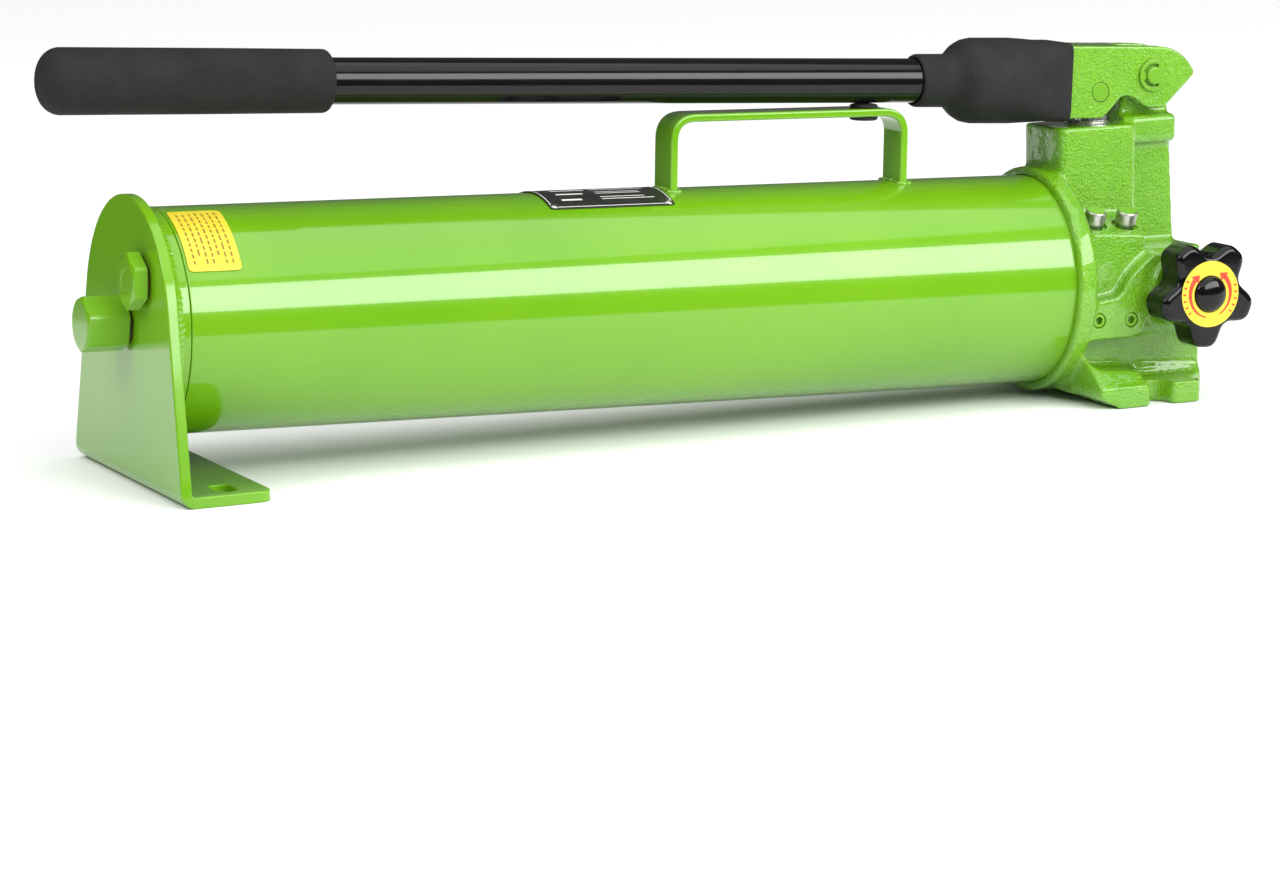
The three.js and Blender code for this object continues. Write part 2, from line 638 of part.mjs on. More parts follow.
function cylinderGland() {
  const inner = PLUNGER_R + GAP;
  return turnedZ([[inner, 130], [GLAND_R, 130], [GLAND_R, 156.6], [GLAND_R - 1, 157.6], [inner + 1.6, 157.6],
    [inner + 1.6, 154], [inner, 154], [inner, 130]], 28).translate(PLUNGER_X, 0, 0);
}

function valveCap() {
  const { r, shankR, shank, height } = VALVE_CAP;
  return turned([[0, -shank], [shankR, -shank], [shankR, 0.2], [r - 0.5, 0.6], [r, 1.4], [r, height - 1],
    [r - 0.8, height], [0, height]], 16);
}

// Distance from a valve seat's edge to the middle of the ball on it.
const ballRise = ({ r, seatR }) => Math.sqrt(r ** 2 - seatR ** 2);

const UP = VALVE_DOWN.map((value) => -value);
const ON_PLUNGER = [PLUNGER_X, 0, 0];

node(pump, 'cylinder_gland', cylinderGland(), steel);
node(pump, 'wiper_ring', turnedZ(ringProfile(PLUNGER_R + GAP, PLUNGER_R + 1.5, 154.4, 157.2), 28)
  .translate(...ON_PLUNGER), rubber);
node(pump, 'plunger_packing', turnedZ(ringProfile(PLUNGER_R + GAP, GLAND_R, 122.4, 129.6), 28)
  .translate(...ON_PLUNGER), rubber);
node(pump, 'suction_ball', ball(SUCTION_BALL.r, PLUNGER_X, 0,
  SUCTION_BALL.seat + ballRise(SUCTION_BALL)), steel);
for (const [name, seat] of [['discharge', DISCHARGE], ['unloader', UNLOADER]]) {
  const seated = VALVE_BALL.depth - GAP - ballRise(VALVE_BALL);
  const { r, wire, length, turns } = VALVE_SPRING;
  const foot = valvePoint(seat, seated - VALVE_BALL.r - wire / 2);
  node(pump, `${name}_valve_cap`, pointing(valveCap(), valvePoint(seat, 0), UP), steel);
  node(pump, `${name}_spring`, pointing(coilSpring(r, wire, length, turns), foot, UP), springSteel);
  node(pump, `${name}_ball`, ball(VALVE_BALL.r, ...valvePoint(seat, seated)), steel);
}

// A hexagon socket set screw in the valve pad, its outer end a little below the face.
function setScrew({ x, z }) {
  const { r, length, chamfer, socketR, socket, sunk } = SET_SCREW;
  const body = turned([[0, 0], [r - chamfer, 0], [r, chamfer], [r, length - chamfer],
    [r - chamfer, length], [0, length]], 20);
  const hole = new THREE.CylinderGeometry(socketR, socketR, socket + 1, 6).translate(0, (socket - 1) / 2, 0);
  return toGeometry(cut(solid(body), hole)).translate(x, -PAD_FACE + sunk, z);
}

function reliefSpring() {
  const { r, wire, length, turns, depth } = RELIEF_SPRING;
  return coilSpring(r, wire, length, turns).translate(RELIEF.x, -PAD_FACE + depth, RELIEF.z);
}

const reliefBallY = -PAD_FACE + RELIEF_BALL.depth - GAP - ballRise(RELIEF_BALL);

node(pump, 'relief_screw', setScrew(RELIEF), steel);
node(pump, 'relief_spring', reliefSpring(), springSteel);
node(pump, 'relief_ball', ball(RELIEF_BALL.r, RELIEF.x, reliefBallY, RELIEF.z), steel);
node(pump, 'gallery_plug', setScrew(GALLERY), steel);

// ---------------------------------------------------------------- release valve and knob

const RELEASE_BALL_R = 3.5;
const RELEASE_BALL_Y = RELEASE_SEAT - 0.1 - Math.sqrt(RELEASE_BALL_R ** 2 - 2 ** 2);

// Radius of the star knob at an angle: broad round lobes with narrower hollows between them.
function knobRadius(angle) {
  const middle = (KNOB.tipR + KNOB.valleyR) / 2;
  const swing = (KNOB.tipR - KNOB.valleyR) / 2;
  return middle + swing * Math.sin((Math.PI / 2) * Math.cos(KNOB.lobes * (angle - KNOB.turn)));
}

function knobOutline(offset) {
  const points = [];
  const count = KNOB.lobes * 10;
  for (let i = 0; i < count; i += 1) {
    const angle = (i / count) * Math.PI * 2;
    const r = knobRadius(angle) - offset;
    points.push([r * Math.cos(angle), r * Math.sin(angle)]);
  }
  return outline(points);
}

// A point half way along the knob, this far from its axis, in the hollow where the grub screw is.
function inValley(r) {
  const valley = KNOB.turn + Math.PI / KNOB.lobes;
  return [Math.cos(valley) * r, (KNOB.face + KNOB.back) / 2, Math.sin(valley) * r];
}

function releaseKnob() {
  const star = join(
    prismY(knobOutline(0), KNOB.face + 3, KNOB.back - 1.5),
    prismY(knobOutline(1), KNOB.face + 1, KNOB.face + 3.5),
    prismY(knobOutline(2.4), KNOB.face, KNOB.face + 2),
    prismY(knobOutline(1.5), KNOB.back - 2, KNOB.back));
  const recess = rodY(KNOB_LABEL.outer + 0.4, KNOB.face - 1, KNOB.face + 0.6, 0, 0, 36);
  return cut(star, rodY(SPINDLE_R + GAP, KNOB.face - 1, KNOB.back + 1, 0, 0, 28),
    recess, drill(inValley(KNOB_GRUB.reach), inValley(0), KNOB_GRUB.bore, 16));
}

function grubScrew() {
  return drill(inValley(SPINDLE_R + GAP), inValley(KNOB_GRUB.head), KNOB_GRUB.r, 16);
}

function knobCap() {
  const { r, stemR, stem, rise } = KNOB_CAP;
  const rim = KNOB.face - 0.6;
  const dome = [[0, stem], [stemR, stem], [stemR, rim + 1], [r, rim + 0.8], [r, rim]];
  for (let i = 1; i <= 4; i += 1) {
    const angle = (i / 4) * (Math.PI / 2);
    dome.push([r * Math.cos(angle), rim - rise * Math.sin(angle)]);
  }
  dome[dome.length - 1][0] = 0;
  return turned(dome.reverse(), 20);
}

function onKnob(geometry) {
  return geometry.translate(KNOB.x, 0, KNOB.z);
}

node(pump, 'spindle_packing', onKnob(turned(ringProfile(SPINDLE_R + GAP, 9.9, -49, -45), 28)), rubber);
node(pump, 'spindle_gland', onKnob(turned(ringProfile(SPINDLE_R + GAP, 10, -64.5, -49.4), 28)), steel);
node(pump, 'release_ball', onKnob(ball(RELEASE_BALL_R, 0, RELEASE_BALL_Y, 0)), steel);
node(pump, 'release_spindle', onKnob(
  rodY(SPINDLE_R, -78, RELEASE_BALL_Y - RELEASE_BALL_R - GAP, 0, 0, 28)), steel);
node(pump, 'release_knob', onKnob(toGeometry(releaseKnob())), blackGloss);
node(pump, 'knob_grub_screw', onKnob(grubScrew()), steel);
node(pump, 'knob_label', onKnob(turned(ringProfile(KNOB_LABEL.inner, KNOB_LABEL.outer, KNOB.face - 0.1,
  KNOB.face + KNOB_LABEL.thick), 28)), foilYellow);
node(pump, 'knob_cap', onKnob(knobCap()), blackGloss);

// ---------------------------------------------------------------- lever

// The lever head from the side: square at the handle, a nose beyond the pivot,
// and an arch below that clears the plunger's ear.
function leverOutline() {
  const shape = new THREE.Shape();
  shape.moveTo(-66, -25);
  shape.lineTo(-32, -25);
  shape.lineTo(-27, -20.3);
  shape.lineTo(-20.3, -12.9);
  shape.quadraticCurveTo(-16.4, -10.9, -10.5, -13.5);
  shape.lineTo(-6.4, -16.3);
  shape.quadraticCurveTo(-3, -18.6, 0, -18.6);
  shape.lineTo(7, -18.6);
  shape.quadraticCurveTo(10.5, -17.8, 12.9, -15.2);
  shape.lineTo(27.6, -0.6);
  shape.quadraticCurveTo(29.6, 1.4, 27.6, 4);
  shape.quadraticCurveTo(19, 16.4, 4, 16.6);
  shape.lineTo(-66, 16.6);
  return shape;
}

function leverHead() {
  const head = prismY(leverOutline(), -LEVER_HALF, LEVER_HALF, 6);
  const socket = rodX(SOCKET.r, SOCKET.rear, -58, 0, HANDLE_Z, 28);
  return cut(join(head, socket),
    rodX(HANDLE_R + GAP, SOCKET.rear - 1, SOCKET.bottom, 0, HANDLE_Z, 28),
    box(-52, 40, -FORK_HALF, FORK_HALF, -40, 7),
    box(-16, 40, -FORK_HALF, FORK_HALF, 6, 30),
    rodY(PIN_R + GAP, -30, 30, 0, 0, 28),
    rodY(PIN_R + GAP, -30, 30, PISTON_PIN.x, PISTON_PIN.z, 28),
    rodY(3 + GAP, -30, 30, -95, HANDLE_Z, 16));
}

function leverBoot() {
  const { rim, neck, neckR, bodyR, mouth } = BOOT;
  const body = turnedX([[0, rim], [neckR - 1.6, rim], [neckR, rim + 1.6], [neckR, neck], [20, neck + 3],
    [23.4, neck + 6], [bodyR, neck + 10], [bodyR, -64], [22, -56], [0, -56]], 32).translate(0, 0, HANDLE_Z);
  const end = prismX(roundedRect(-17.9, 17.9, -26.8, 18.4, 3), -92, mouth, 3);
  const bore = rodX(HANDLE_R + GAP, rim - 1, -120, 0, HANDLE_Z, 28);
  const pocket = rodX(SOCKET.r + GAP, SOCKET.rear - GAP, mouth + 5, 0, HANDLE_Z, 28);
  const square = prismX(roundedRect(-LEVER_HALF - GAP, LEVER_HALF + GAP, -25 - GAP, 16.6 + GAP, 0.5),
    -66 - GAP, mouth + 5, 2);
  return cut(join(body, end), bore, pocket, square);
}

function handleTube() {
  const tube = turnedX(ringProfile(HANDLE_R - 2.5, HANDLE_R, GRIP.rear + 8, SOCKET.bottom - GAP), 28)
    .translate(0, 0, HANDLE_Z);
  return cut(solid(tube), rodY(3 + GAP, -30, 30, -95, HANDLE_Z, 16));
}

function handleGrip() {
  const { rear, front, r } = GRIP;
  const bore = HANDLE_R + GAP;
  const profile = [[0, rear]];
  for (let i = 1; i <= 4; i += 1) {
    const angle = (i / 4) * (Math.PI / 2);
    profile.push([r * Math.sin(angle) ** 0.8, rear + 12 * (1 - Math.cos(angle))]);
  }
  profile.push([r - 0.5, front - 2], [r - 2.5, front], [bore, front], [bore, rear + 7.5], [0, rear + 7.5]);
  return turnedX(profile, 28).translate(0, 0, HANDLE_Z);
}

function pivotPin() {
  const groove = LEVER_HALF + 0.4;
  const end = LEVER_HALF + 3.6;
  return turned([[0, -end], [4.3, -end], [4.8, -end + 0.5], [4.8, -groove], [PIN_R, -groove], [PIN_R, groove],
    [4.8, groove], [4.8, end - 0.5], [4.3, end], [0, end]], 20);
}

// A spring clip in the pin's groove, open on the nose side.
function pivotClip(side) {
  const shape = new THREE.Shape();
  const mouth = degrees(35);
  shape.absarc(0, 0, 9.1, mouth, Math.PI * 2 - mouth);
  shape.absarc(0, 0, 4.8 + GAP, Math.PI * 2 - mouth, mouth, true);
  const near = LEVER_HALF + 0.7;
  return side < 0 ? prismY(shape, -near - 1.2, -near, 12) : prismY(shape, near, near + 1.2, 12);
}

function plunger() {
  const eye = PIVOT[2] - PISTON_PIN.x * Math.sin(LEVER_TILT) + PISTON_PIN.z * Math.cos(LEVER_TILT);
  const flats = 6.7;
  const top = 11;
  const stem = solid(turnedZ([[0, 74], [PLUNGER_R - 1, 74], [PLUNGER_R, 75], [PLUNGER_R, eye + top],
    [0, eye + top]], 24));
  const dome = new THREE.Shape();
  dome.moveTo(-12, 60);
  dome.lineTo(12, 60);
  dome.lineTo(12, eye - 2);
  dome.absarc(0, eye - 2, 12, 0, Math.PI);
  const rounded = stem.intersect(solid(prismY(dome, -12, 12, 12)));
  const slot = roundedRect(-8.6, 8.6, eye - PIN_R - 0.6, eye + PIN_R + 0.6, PIN_R + 0.5);
  return cut(rounded, box(-20, 20, flats, 20, 150, 200), box(-20, 20, -20, -flats, 150, 200),
    prismY(slot, -20, 20, 8));
}

node(lever, 'lever_head', leverHead(), casting);
node(lever, 'lever_boot', leverBoot(), foam);
node(lever, 'handle_tube', handleTube(), blackGloss);
node(lever, 'handle_grip', handleGrip(), foam);
node(lever, 'handle_pin', rodY(3, -20.2, 20.2, -95, HANDLE_Z, 16), steel);
node(lever, 'pivot_pin', pivotPin(), casting);
node(lever, 'pivot_clip_near', pivotClip(-1), casting);
node(lever, 'pivot_clip_far', pivotClip(1), casting);
node(lever, 'plunger_pin', rodY(PIN_R, -LEVER_HALF, LEVER_HALF, PISTON_PIN.x, PISTON_PIN.z, 28), casting);
node(pump, 'plunger', toGeometry(plunger()), steel).position.set(PLUNGER_X, 0, 0);

export default pump;
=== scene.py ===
"""A hydraulic hand pump: the visible pieces, the materials, the floor, the light and the camera.

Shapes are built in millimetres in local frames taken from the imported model, and stored in metres.
"""

from math import acos, atan, atan2, copysign, cos, hypot, pi, radians, sin, sqrt, tan

import bmesh
import bpy
import numpy as np
from mathutils import Matrix, Vector, noise
from mathutils.geometry import tessellate_polygon


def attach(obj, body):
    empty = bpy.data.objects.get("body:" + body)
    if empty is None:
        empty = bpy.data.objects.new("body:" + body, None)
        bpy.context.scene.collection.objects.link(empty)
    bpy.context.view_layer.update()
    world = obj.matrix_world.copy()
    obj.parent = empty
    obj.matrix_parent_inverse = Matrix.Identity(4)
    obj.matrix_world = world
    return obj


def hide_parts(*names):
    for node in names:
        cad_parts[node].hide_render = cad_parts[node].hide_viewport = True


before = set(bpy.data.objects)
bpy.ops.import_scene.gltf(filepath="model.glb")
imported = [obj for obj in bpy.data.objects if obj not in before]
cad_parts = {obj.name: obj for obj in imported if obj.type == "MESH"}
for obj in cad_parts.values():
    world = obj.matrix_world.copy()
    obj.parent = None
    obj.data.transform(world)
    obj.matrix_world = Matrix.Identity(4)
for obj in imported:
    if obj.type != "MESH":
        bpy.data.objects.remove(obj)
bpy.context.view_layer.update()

MM = 0.001
FULL = 2 * pi
QUARTER = pi / 2


# ---------------- places taken from the model

def cad_points(node):
    """The node's vertices, in millimetres."""
    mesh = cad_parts[node].data
    co = np.empty(len(mesh.vertices) * 3, np.float32)
    mesh.vertices.foreach_get("co", co)
    return co.reshape(-1, 3).astype(float) / MM


def local_points(node, place):
    local = np.array(place.inverted())
    return cad_points(node) @ local[:3, :3].T + local[:3, 3]


def span(node, place=Matrix()):
    """The node's lowest and highest corner in a local frame, in millimetres."""
    points = local_points(node, place)
    return Vector(points.min(0)), Vector(points.max(0))


def middle(node, place=Matrix()):
    low, high = span(node, place)
    return (low + high) / 2


def looking(x_axis, origin, level=(0, 1, 0)):
    """A frame at origin with its X axis along x_axis and its Y axis as near to level as it can be."""
    x = Vector(x_axis).normalized()
    z = x.cross(Vector(level)).normalized()
    y = z.cross(x)
    return Matrix.LocRotScale(Vector(origin), Matrix((x, y, z)).transposed(), None)


def crosswise(at, sign=1):
    """A frame whose X axis points across the pump, to the far side or, with -1, to the near side."""
    return looking((0, sign, 0), at, level=(1, 0, 0))


def shift(x=0, y=0, z=0):
    return Matrix.Translation((x, y, z))


def long_axis(node):
    """Direction of a bar's length, in the plane of the pump, from the rear to the head."""
    points = cad_points(node)
    axis = np.linalg.svd(points - points.mean(0), full_matrices=False)[2][0]
    return Vector((abs(axis[0]), 0, axis[2] * np.sign(axis[0])))


ROD_AXIS = long_axis("tie_rod")
TANK = looking(ROD_AXIS, middle("tie_rod"))
TANK = TANK @ shift(span("reservoir_tube", TANK)[1].x, 0, 0)
PIVOT = middle("pivot_pin")
LEVER = looking(long_axis("handle_tube"), PIVOT)
KNOB = crosswise(middle("release_spindle"), -1)
GLAND = middle("cylinder_gland")
UPRIGHT = looking((0, 0, 1), (GLAND.x, GLAND.y, 0))
FACING = Matrix(((0, 0, 1, 0), (1, 0, 0, 0), (0, 1, 0, 0), (0, 0, 0, 1)))


# ---------------- meshes

def loft(rings, closed=False, caps=True):
    """Skins rings of points. A ring of one point is a pole, and closed joins the last ring to the first."""
    mesh = bmesh.new()
    made = [[mesh.verts.new(p) for p in ring] for ring in rings]
    pairs = list(zip(made, made[1:]))
    if closed:
        pairs.append((made[-1], made[0]))
    for a, b in pairs:
        count = max(len(a), len(b))
        for i in range(count):
            j = (i + 1) % count
            corners = [a[i % len(a)], a[j % len(a)], b[j % len(b)], b[i % len(b)]]
            mesh.faces.new(list(dict.fromkeys(corners)))
    if caps and not closed:
        for ring in (made[0], made[-1]):
            if len(ring) > 2:
                mesh.faces.new(ring)
    bmesh.ops.recalc_face_normals(mesh, faces=mesh.faces)
    return smoothed(mesh)


def smoothed(mesh):
    for face in mesh.faces:
        face.smooth = True
    return mesh


def arc_corner(before, corner, after, radius, steps):
    """Points that round a corner off, no further than half way along its two sides."""
    sides = []
    for end in (before, after):
        side = end - corner
        sides.append(corner + side.normalized() * min(radius, side.length * 0.48))
    turn = [k / steps for k in range(steps + 1)]
    return [sides[0] * (1 - t) ** 2 + corner * 2 * t * (1 - t) + sides[1] * t ** 2 for t in turn]


def softened(points, radius=0.5, steps=4, closed=False):
    """An outline with its corners rounded. A point's third number is a radius of its own."""
    flat = [Vector(p[:2]) for p in points]
    result = []
    for i, p in enumerate(points):
        own = p[2] if len(p) > 2 else radius
        if (not closed and i in (0, len(points) - 1)) or own == 0:
            result.append(flat[i])
        else:
            result += arc_corner(flat[i - 1], flat[i], flat[(i + 1) % len(flat)], own, steps)
    return result


def polar(angle, radius=1):
    return Vector((cos(angle), sin(angle))) * radius


def hoop(x, radius, count):
    """A ring of points about the X axis."""
    return [(x, radius * cos(k * FULL / count), radius * sin(k * FULL / count)) for k in range(count)]


def spin(profile, segments=96, radius=0.5, steps=4, closed=False):
    """A turned shape: profile points are (distance along X, radius)."""
    rings = []
    for x, r in softened(profile, radius, steps, closed):
        if r < 1e-4:
            rings.append([(x, 0, 0)])
        else:
            rings.append(hoop(x, r, segments))
    return loft(rings, closed)


def inset(loop, distance):
    """A counter-clockwise outline moved inwards, or a clockwise hole made wider."""
    result = []
    for i, p in enumerate(loop):
        before = (p - loop[i - 1]).normalized()
        after = (loop[(i + 1) % len(loop)] - p).normalized()
        left = Vector((-before.y, before.x))
        next_left = Vector((-after.y, after.x))
        result.append(p + (left + next_left) * distance / (1 + left.dot(next_left)))
    return result


def slab(outline, depth, edge, holes=(), steps=4, back_edge=None):
    """A plate in the XY plane from z = 0 to depth, with every edge rounded."""
    back = edge if back_edge is None else back_edge
    levels = [(back * (1 - sin(a)), back * (1 - cos(a)))
              for a in (k * QUARTER / steps for k in range(steps + 1))]
    levels += [(edge * (1 - sin(a)), depth - edge * (1 - cos(a)))
               for a in (k * QUARTER / steps for k in range(steps, -1, -1))]
    mesh = bmesh.new()
    ends = ([], [])
    for loop in (outline, *holes):
        rings = [[mesh.verts.new((p.x, p.y, z)) for p in inset(loop, d)] for d, z in levels]
        for a, b in zip(rings, rings[1:]):
            for i in range(len(a)):
                mesh.faces.new((a[i - 1], a[i], b[i], b[i - 1])).smooth = True
        ends[0].append(rings[0])
        ends[1].append(rings[-1])
    for loops in ends:
        flat = [v for loop in loops for v in loop]
        for triangle in tessellate_polygon([[v.co for v in loop] for loop in loops]):
            mesh.faces.new([flat[i] for i in triangle])
    bmesh.ops.recalc_face_normals(mesh, faces=mesh.faces)
    return mesh


def circle(radius, count=32, x=0, y=0, clockwise=False):
    turn = -FULL if clockwise else FULL
    return [Vector((x + radius * cos(turn * k / count), y + radius * sin(turn * k / count)))
            for k in range(count)]


def rounded_box(x0, x1, y0, y1, radius, steps=6):
    return softened([(x0, y0), (x1, y0), (x1, y1), (x0, y1)], radius, steps, closed=True)


def sliced(mesh, axis, stations):
    """Adds edges where the mesh crosses each station, so that it can bend there."""
    normal = [float(k == axis) for k in range(3)]
    for at in stations:
        bmesh.ops.bisect_plane(mesh, geom=mesh.verts[:] + mesh.edges[:] + mesh.faces[:],
                               plane_co=[n * at for n in normal], plane_no=normal)
    return mesh


def moved(mesh, rule):
    for v in mesh.verts:
        v.co = rule(v.co)
    return mesh


def stored(name, mesh):
    data = bpy.data.meshes.new(name)
    mesh.to_mesh(data)
    return data


def together(*meshes):
    whole = bmesh.new()
    for part in meshes:
        shell = stored("part", part)
        whole.from_mesh(shell)
        bpy.data.meshes.remove(shell)
    return whole


def placed(mesh, place):
    mesh.transform(place)
    return mesh


# ---------------- pieces

def linked(name, data):
    obj = bpy.data.objects.new(name, data)
    bpy.context.scene.collection.objects.link(obj)
    return obj


def working(name, mesh):
    """An object in millimetres, so that modifiers work at a comfortable size."""
    return linked(name, stored(name, mesh))


def dress(obj, look, body, stands_for):
    obj.data.materials.clear()
    obj.data.materials.append(LOOKS[look])
    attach(obj, body)
    if stands_for:
        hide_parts(stands_for)


def applied(obj):
    """Replaces an object's mesh with what its modifiers make of it."""
    depsgraph = bpy.context.evaluated_depsgraph_get()
    data = bpy.data.meshes.new_from_object(obj.evaluated_get(depsgraph))
    obj.modifiers.clear()
    obj.data = data
    return obj


def piece(name, mesh, look, place=Matrix(), body="root", stands_for=None, sharp=35):
    """A finished visible piece: placed, shaded, riding on its body, in place of a node of the model."""
    obj = working(name, placed(mesh, place))
    obj.data.transform(Matrix.Scale(MM, 4))
    obj.data.set_sharp_from_angle(angle=radians(sharp))
    weighted = obj.modifiers.new("weighted", "WEIGHTED_NORMAL")
    weighted.keep_sharp = True
    applied(obj)
    dress(obj, look, body, stands_for)
    return obj


def carved(obj, cutters):
    """Cuts closed shapes out of an object."""
    tools = [working("cutter", cutter) for cutter in cutters]
    for tool in tools:
        cut = obj.modifiers.new("cut", "BOOLEAN")
        cut.solver = "MANIFOLD"
        cut.object = tool
    applied(obj)
    for tool in tools:
        bpy.data.objects.remove(tool)
    return obj


def cast(name, node, plugs, cutters, voxel, rounding, wave, body, look):
    """A cast part: the node with its machined holes filled, its edges rounded, its faces a little uneven,
    and then its holes cut again."""
    mesh = bmesh.new()
    mesh.from_mesh(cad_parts[node].data)
    mesh.transform(Matrix.Scale(1 / MM, 4))
    obj = working(name, together(mesh, *plugs))
    remesh = obj.modifiers.new("remesh", "REMESH")
    remesh.mode = "VOXEL"
    remesh.voxel_size = voxel
    smooth = obj.modifiers.new("smooth", "SMOOTH")
    smooth.factor = 0.5
    smooth.iterations = rounding
    applied(obj)
    uneven(obj, wave)
    carved(obj, cutters)
    finished(obj, 40, look, body, node)


def finished(obj, sharp, look, body, node):
    """Brings a worked object to metres, and shades and dresses it."""
    obj.data.transform(Matrix.Scale(MM, 4))
    obj.data.shade_smooth()
    obj.data.set_sharp_from_angle(angle=radians(sharp))
    dress(obj, look, body, node)


def uneven(obj, height, scale=0.09):
    """Moves every vertex along its normal by a smooth noise, but keeps the flat underside flat."""
    co = [v.co.copy() for v in obj.data.vertices]
    normals = [v.normal.copy() for v in obj.data.vertices]
    for p, normal in zip(co, normals):
        lift = noise.noise(p * scale) + 0.5 * noise.noise(p * scale * 3.1)
        p += normal * (lift * height - height) * min(1, max(0, p.z - 1))
    obj.data.vertices.foreach_set("co", [c for p in co for c in p])
    obj.data.update()


# ---------------- materials

LOOKS = {}


def nodes_of(name):
    """A new material with its node tree, its shader and its object coordinates."""
    material = bpy.data.materials.new(name)
    material.use_nodes = True
    LOOKS[name] = material
    tree = material.node_tree
    shader = tree.nodes["Principled BSDF"]
    coordinates = tree.nodes.new("ShaderNodeTexCoord").outputs["Object"]
    return tree, shader, coordinates


def fed(tree, node, inputs):
    """Gives a node its inputs: each is a plain value, or the output of another node."""
    for key, value in inputs.items():
        if isinstance(value, bpy.types.NodeSocket):
            tree.links.new(value, node.inputs[key])
        else:
            node.inputs[key].default_value = value
    return node


def grain(tree, coordinates, scale, detail=3, roughness=0.5):
    """Noise of about 1 / scale metres across."""
    node = tree.nodes.new("ShaderNodeTexNoise")
    inputs = {"Scale": scale, "Detail": detail, "Roughness": roughness, "Vector": coordinates}
    return fed(tree, node, inputs).outputs["Fac"]


def stretched(tree, coordinates, factors):
    node = tree.nodes.new("ShaderNodeMapping")
    return fed(tree, node, {"Scale": factors, "Vector": coordinates}).outputs["Vector"]


def ranged(tree, value, low, high, start=0.3, end=0.7):
    node = tree.nodes.new("ShaderNodeMapRange")
    inputs = {"From Min": start, "From Max": end, "To Min": low, "To Max": high, "Value": value}
    return fed(tree, node, inputs).outputs["Result"]


def mixed(tree, factor, first, second):
    """A colour between two colours; each is a triple or another node's colour."""
    node = tree.nodes.new("ShaderNodeMix")
    node.data_type = "RGBA"
    first, second = ((*c, 1) if isinstance(c, tuple) else c for c in (first, second))
    return fed(tree, node, {"Factor": factor, 6: first, 7: second}).outputs[2]


def bumped(tree, height, distance, strength=1, below=None):
    node = tree.nodes.new("ShaderNodeBump")
    inputs = {"Distance": distance, "Strength": strength, "Height": height}
    if below is not None:
        inputs["Normal"] = below
    return fed(tree, node, inputs).outputs["Normal"]


def edges(tree, start=0.53, end=0.6):
    """A mask for painted highlights: one on sharp convex edges, nothing elsewhere."""
    point = tree.nodes.new("ShaderNodeNewGeometry").outputs["Pointiness"]
    return ranged(tree, point, 0, 1, start, end)


def wire(tree, shader, colour, roughness, normal, **gloss):
    """Joins a material's parts to its shader. In gloss, an underscore stands for a space."""
    inputs = {"Base Color": colour, "Roughness": roughness, "Normal": normal}
    fed(tree, shader, inputs | {key.replace("_", " "): value for key, value in gloss.items()})


def gloss_paint(name, deep, light, rough, peel, coat, mirror=0.5):
    """Sprayed gloss paint: faint clouds of colour, orange peel and a painted highlight, a lighter green, on
    sharp edges.
    """
    tree, shader, at = nodes_of(name)
    cloud = grain(tree, at, 9, 1)
    dust = grain(tree, at, 900, 2)
    colour = mixed(tree, ranged(tree, cloud, 0, 1), deep, light)
    # painted highlight: a lighter green on every sharp convex edge
    colour = mixed(tree, edges(tree), colour, tuple(min(1, 1.25 * c + 0.02) for c in light))
    skin = bumped(tree, grain(tree, at, 160, 2), peel)
    wire(tree, shader, colour, ranged(tree, dust, rough, rough + 0.08), skin,
         Specular_IOR_Level=mirror, Coat_Weight=coat, Coat_Roughness=0.06)


def cast_paint(name, deep, light):
    """Gloss paint over a sand casting: a pebbled skin with glints, painted shade in its pits and a painted
    highlight on sharp edges.
    """
    tree, shader, at = nodes_of(name)
    pebble = grain(tree, at, 740, 2, 0.4)
    lump = grain(tree, at, 260, 1)
    cloud = grain(tree, at, 30, 2)
    colour = mixed(tree, ranged(tree, cloud, 0, 1), deep, light)
    # painted shade: the low points of the pebbled skin are darkened
    colour = mixed(tree, ranged(tree, pebble, 0, 0.35, 0.5, 0.36), colour, tuple(c * 0.75 for c in deep))
    # painted highlight: a lighter green on every sharp convex edge
    colour = mixed(tree, edges(tree, 0.55, 0.68), colour, tuple(min(1, 1.2 * c + 0.02) for c in light))
    skin = bumped(tree, lump, 0.0009, 0.7)
    skin = bumped(tree, pebble, 0.0013, 1, skin)
    wire(tree, shader, colour, ranged(tree, pebble, 0.28, 0.17), skin,
         Specular_IOR_Level=0.38, Coat_Weight=0.9, Coat_Roughness=0.03)


def black_gloss(name, tone, rough, peel):
    """Black enamel or moulded plastic with faint smears and dust."""
    tree, shader, at = nodes_of(name)
    smear = grain(tree, stretched(tree, at, (1, 4, 4)), 26, 3)
    dust = grain(tree, at, 1500, 2)
    colour = mixed(tree, ranged(tree, dust, 0, 0.5, 0.55, 0.75), (tone, tone, tone * 1.05), (tone * 3,) * 3)
    skin = bumped(tree, grain(tree, at, 120, 1), peel)
    wire(tree, shader, colour, ranged(tree, smear, rough, rough + 0.1), skin,
         Specular_IOR_Level=0.2, Coat_Weight=0.25, Coat_Roughness=0.03)


def matt_foam(name, tone, cell, depth):
    """Closed-cell foam or moulded rubber: a fine grain with painted shade in its pits, and worn patches."""
    tree, shader, at = nodes_of(name)
    fine = grain(tree, at, cell, 4, 0.7)
    patch = grain(tree, at, 45, 3)
    colour = mixed(tree, ranged(tree, patch, 0, 1), (tone,) * 3, (tone * 1.35,) * 3)
    # painted shade: the low points of the fine grain are darkened
    colour = mixed(tree, ranged(tree, fine, 0, 0.6, 0.5, 0.3), colour, (tone * 0.45,) * 3)
    wire(tree, shader, colour, ranged(tree, patch, 0.82, 0.7), bumped(tree, fine, depth),
         Specular_IOR_Level=0.25)


def bare_metal(name, dark, light, rough, lines=(1, 1, 1), scale=700, bump=0.00004):
    """Turned or drawn metal with fine tool marks, stained a little unevenly."""
    tree, shader, at = nodes_of(name)
    marks = grain(tree, stretched(tree, at, lines), scale, 4, 0.6)
    stain = grain(tree, at, 120, 3)
    wire(tree, shader, mixed(tree, ranged(tree, stain, 0, 1), dark, light),
         ranged(tree, marks, rough, rough + 0.16), bumped(tree, marks, bump), Metallic=1)


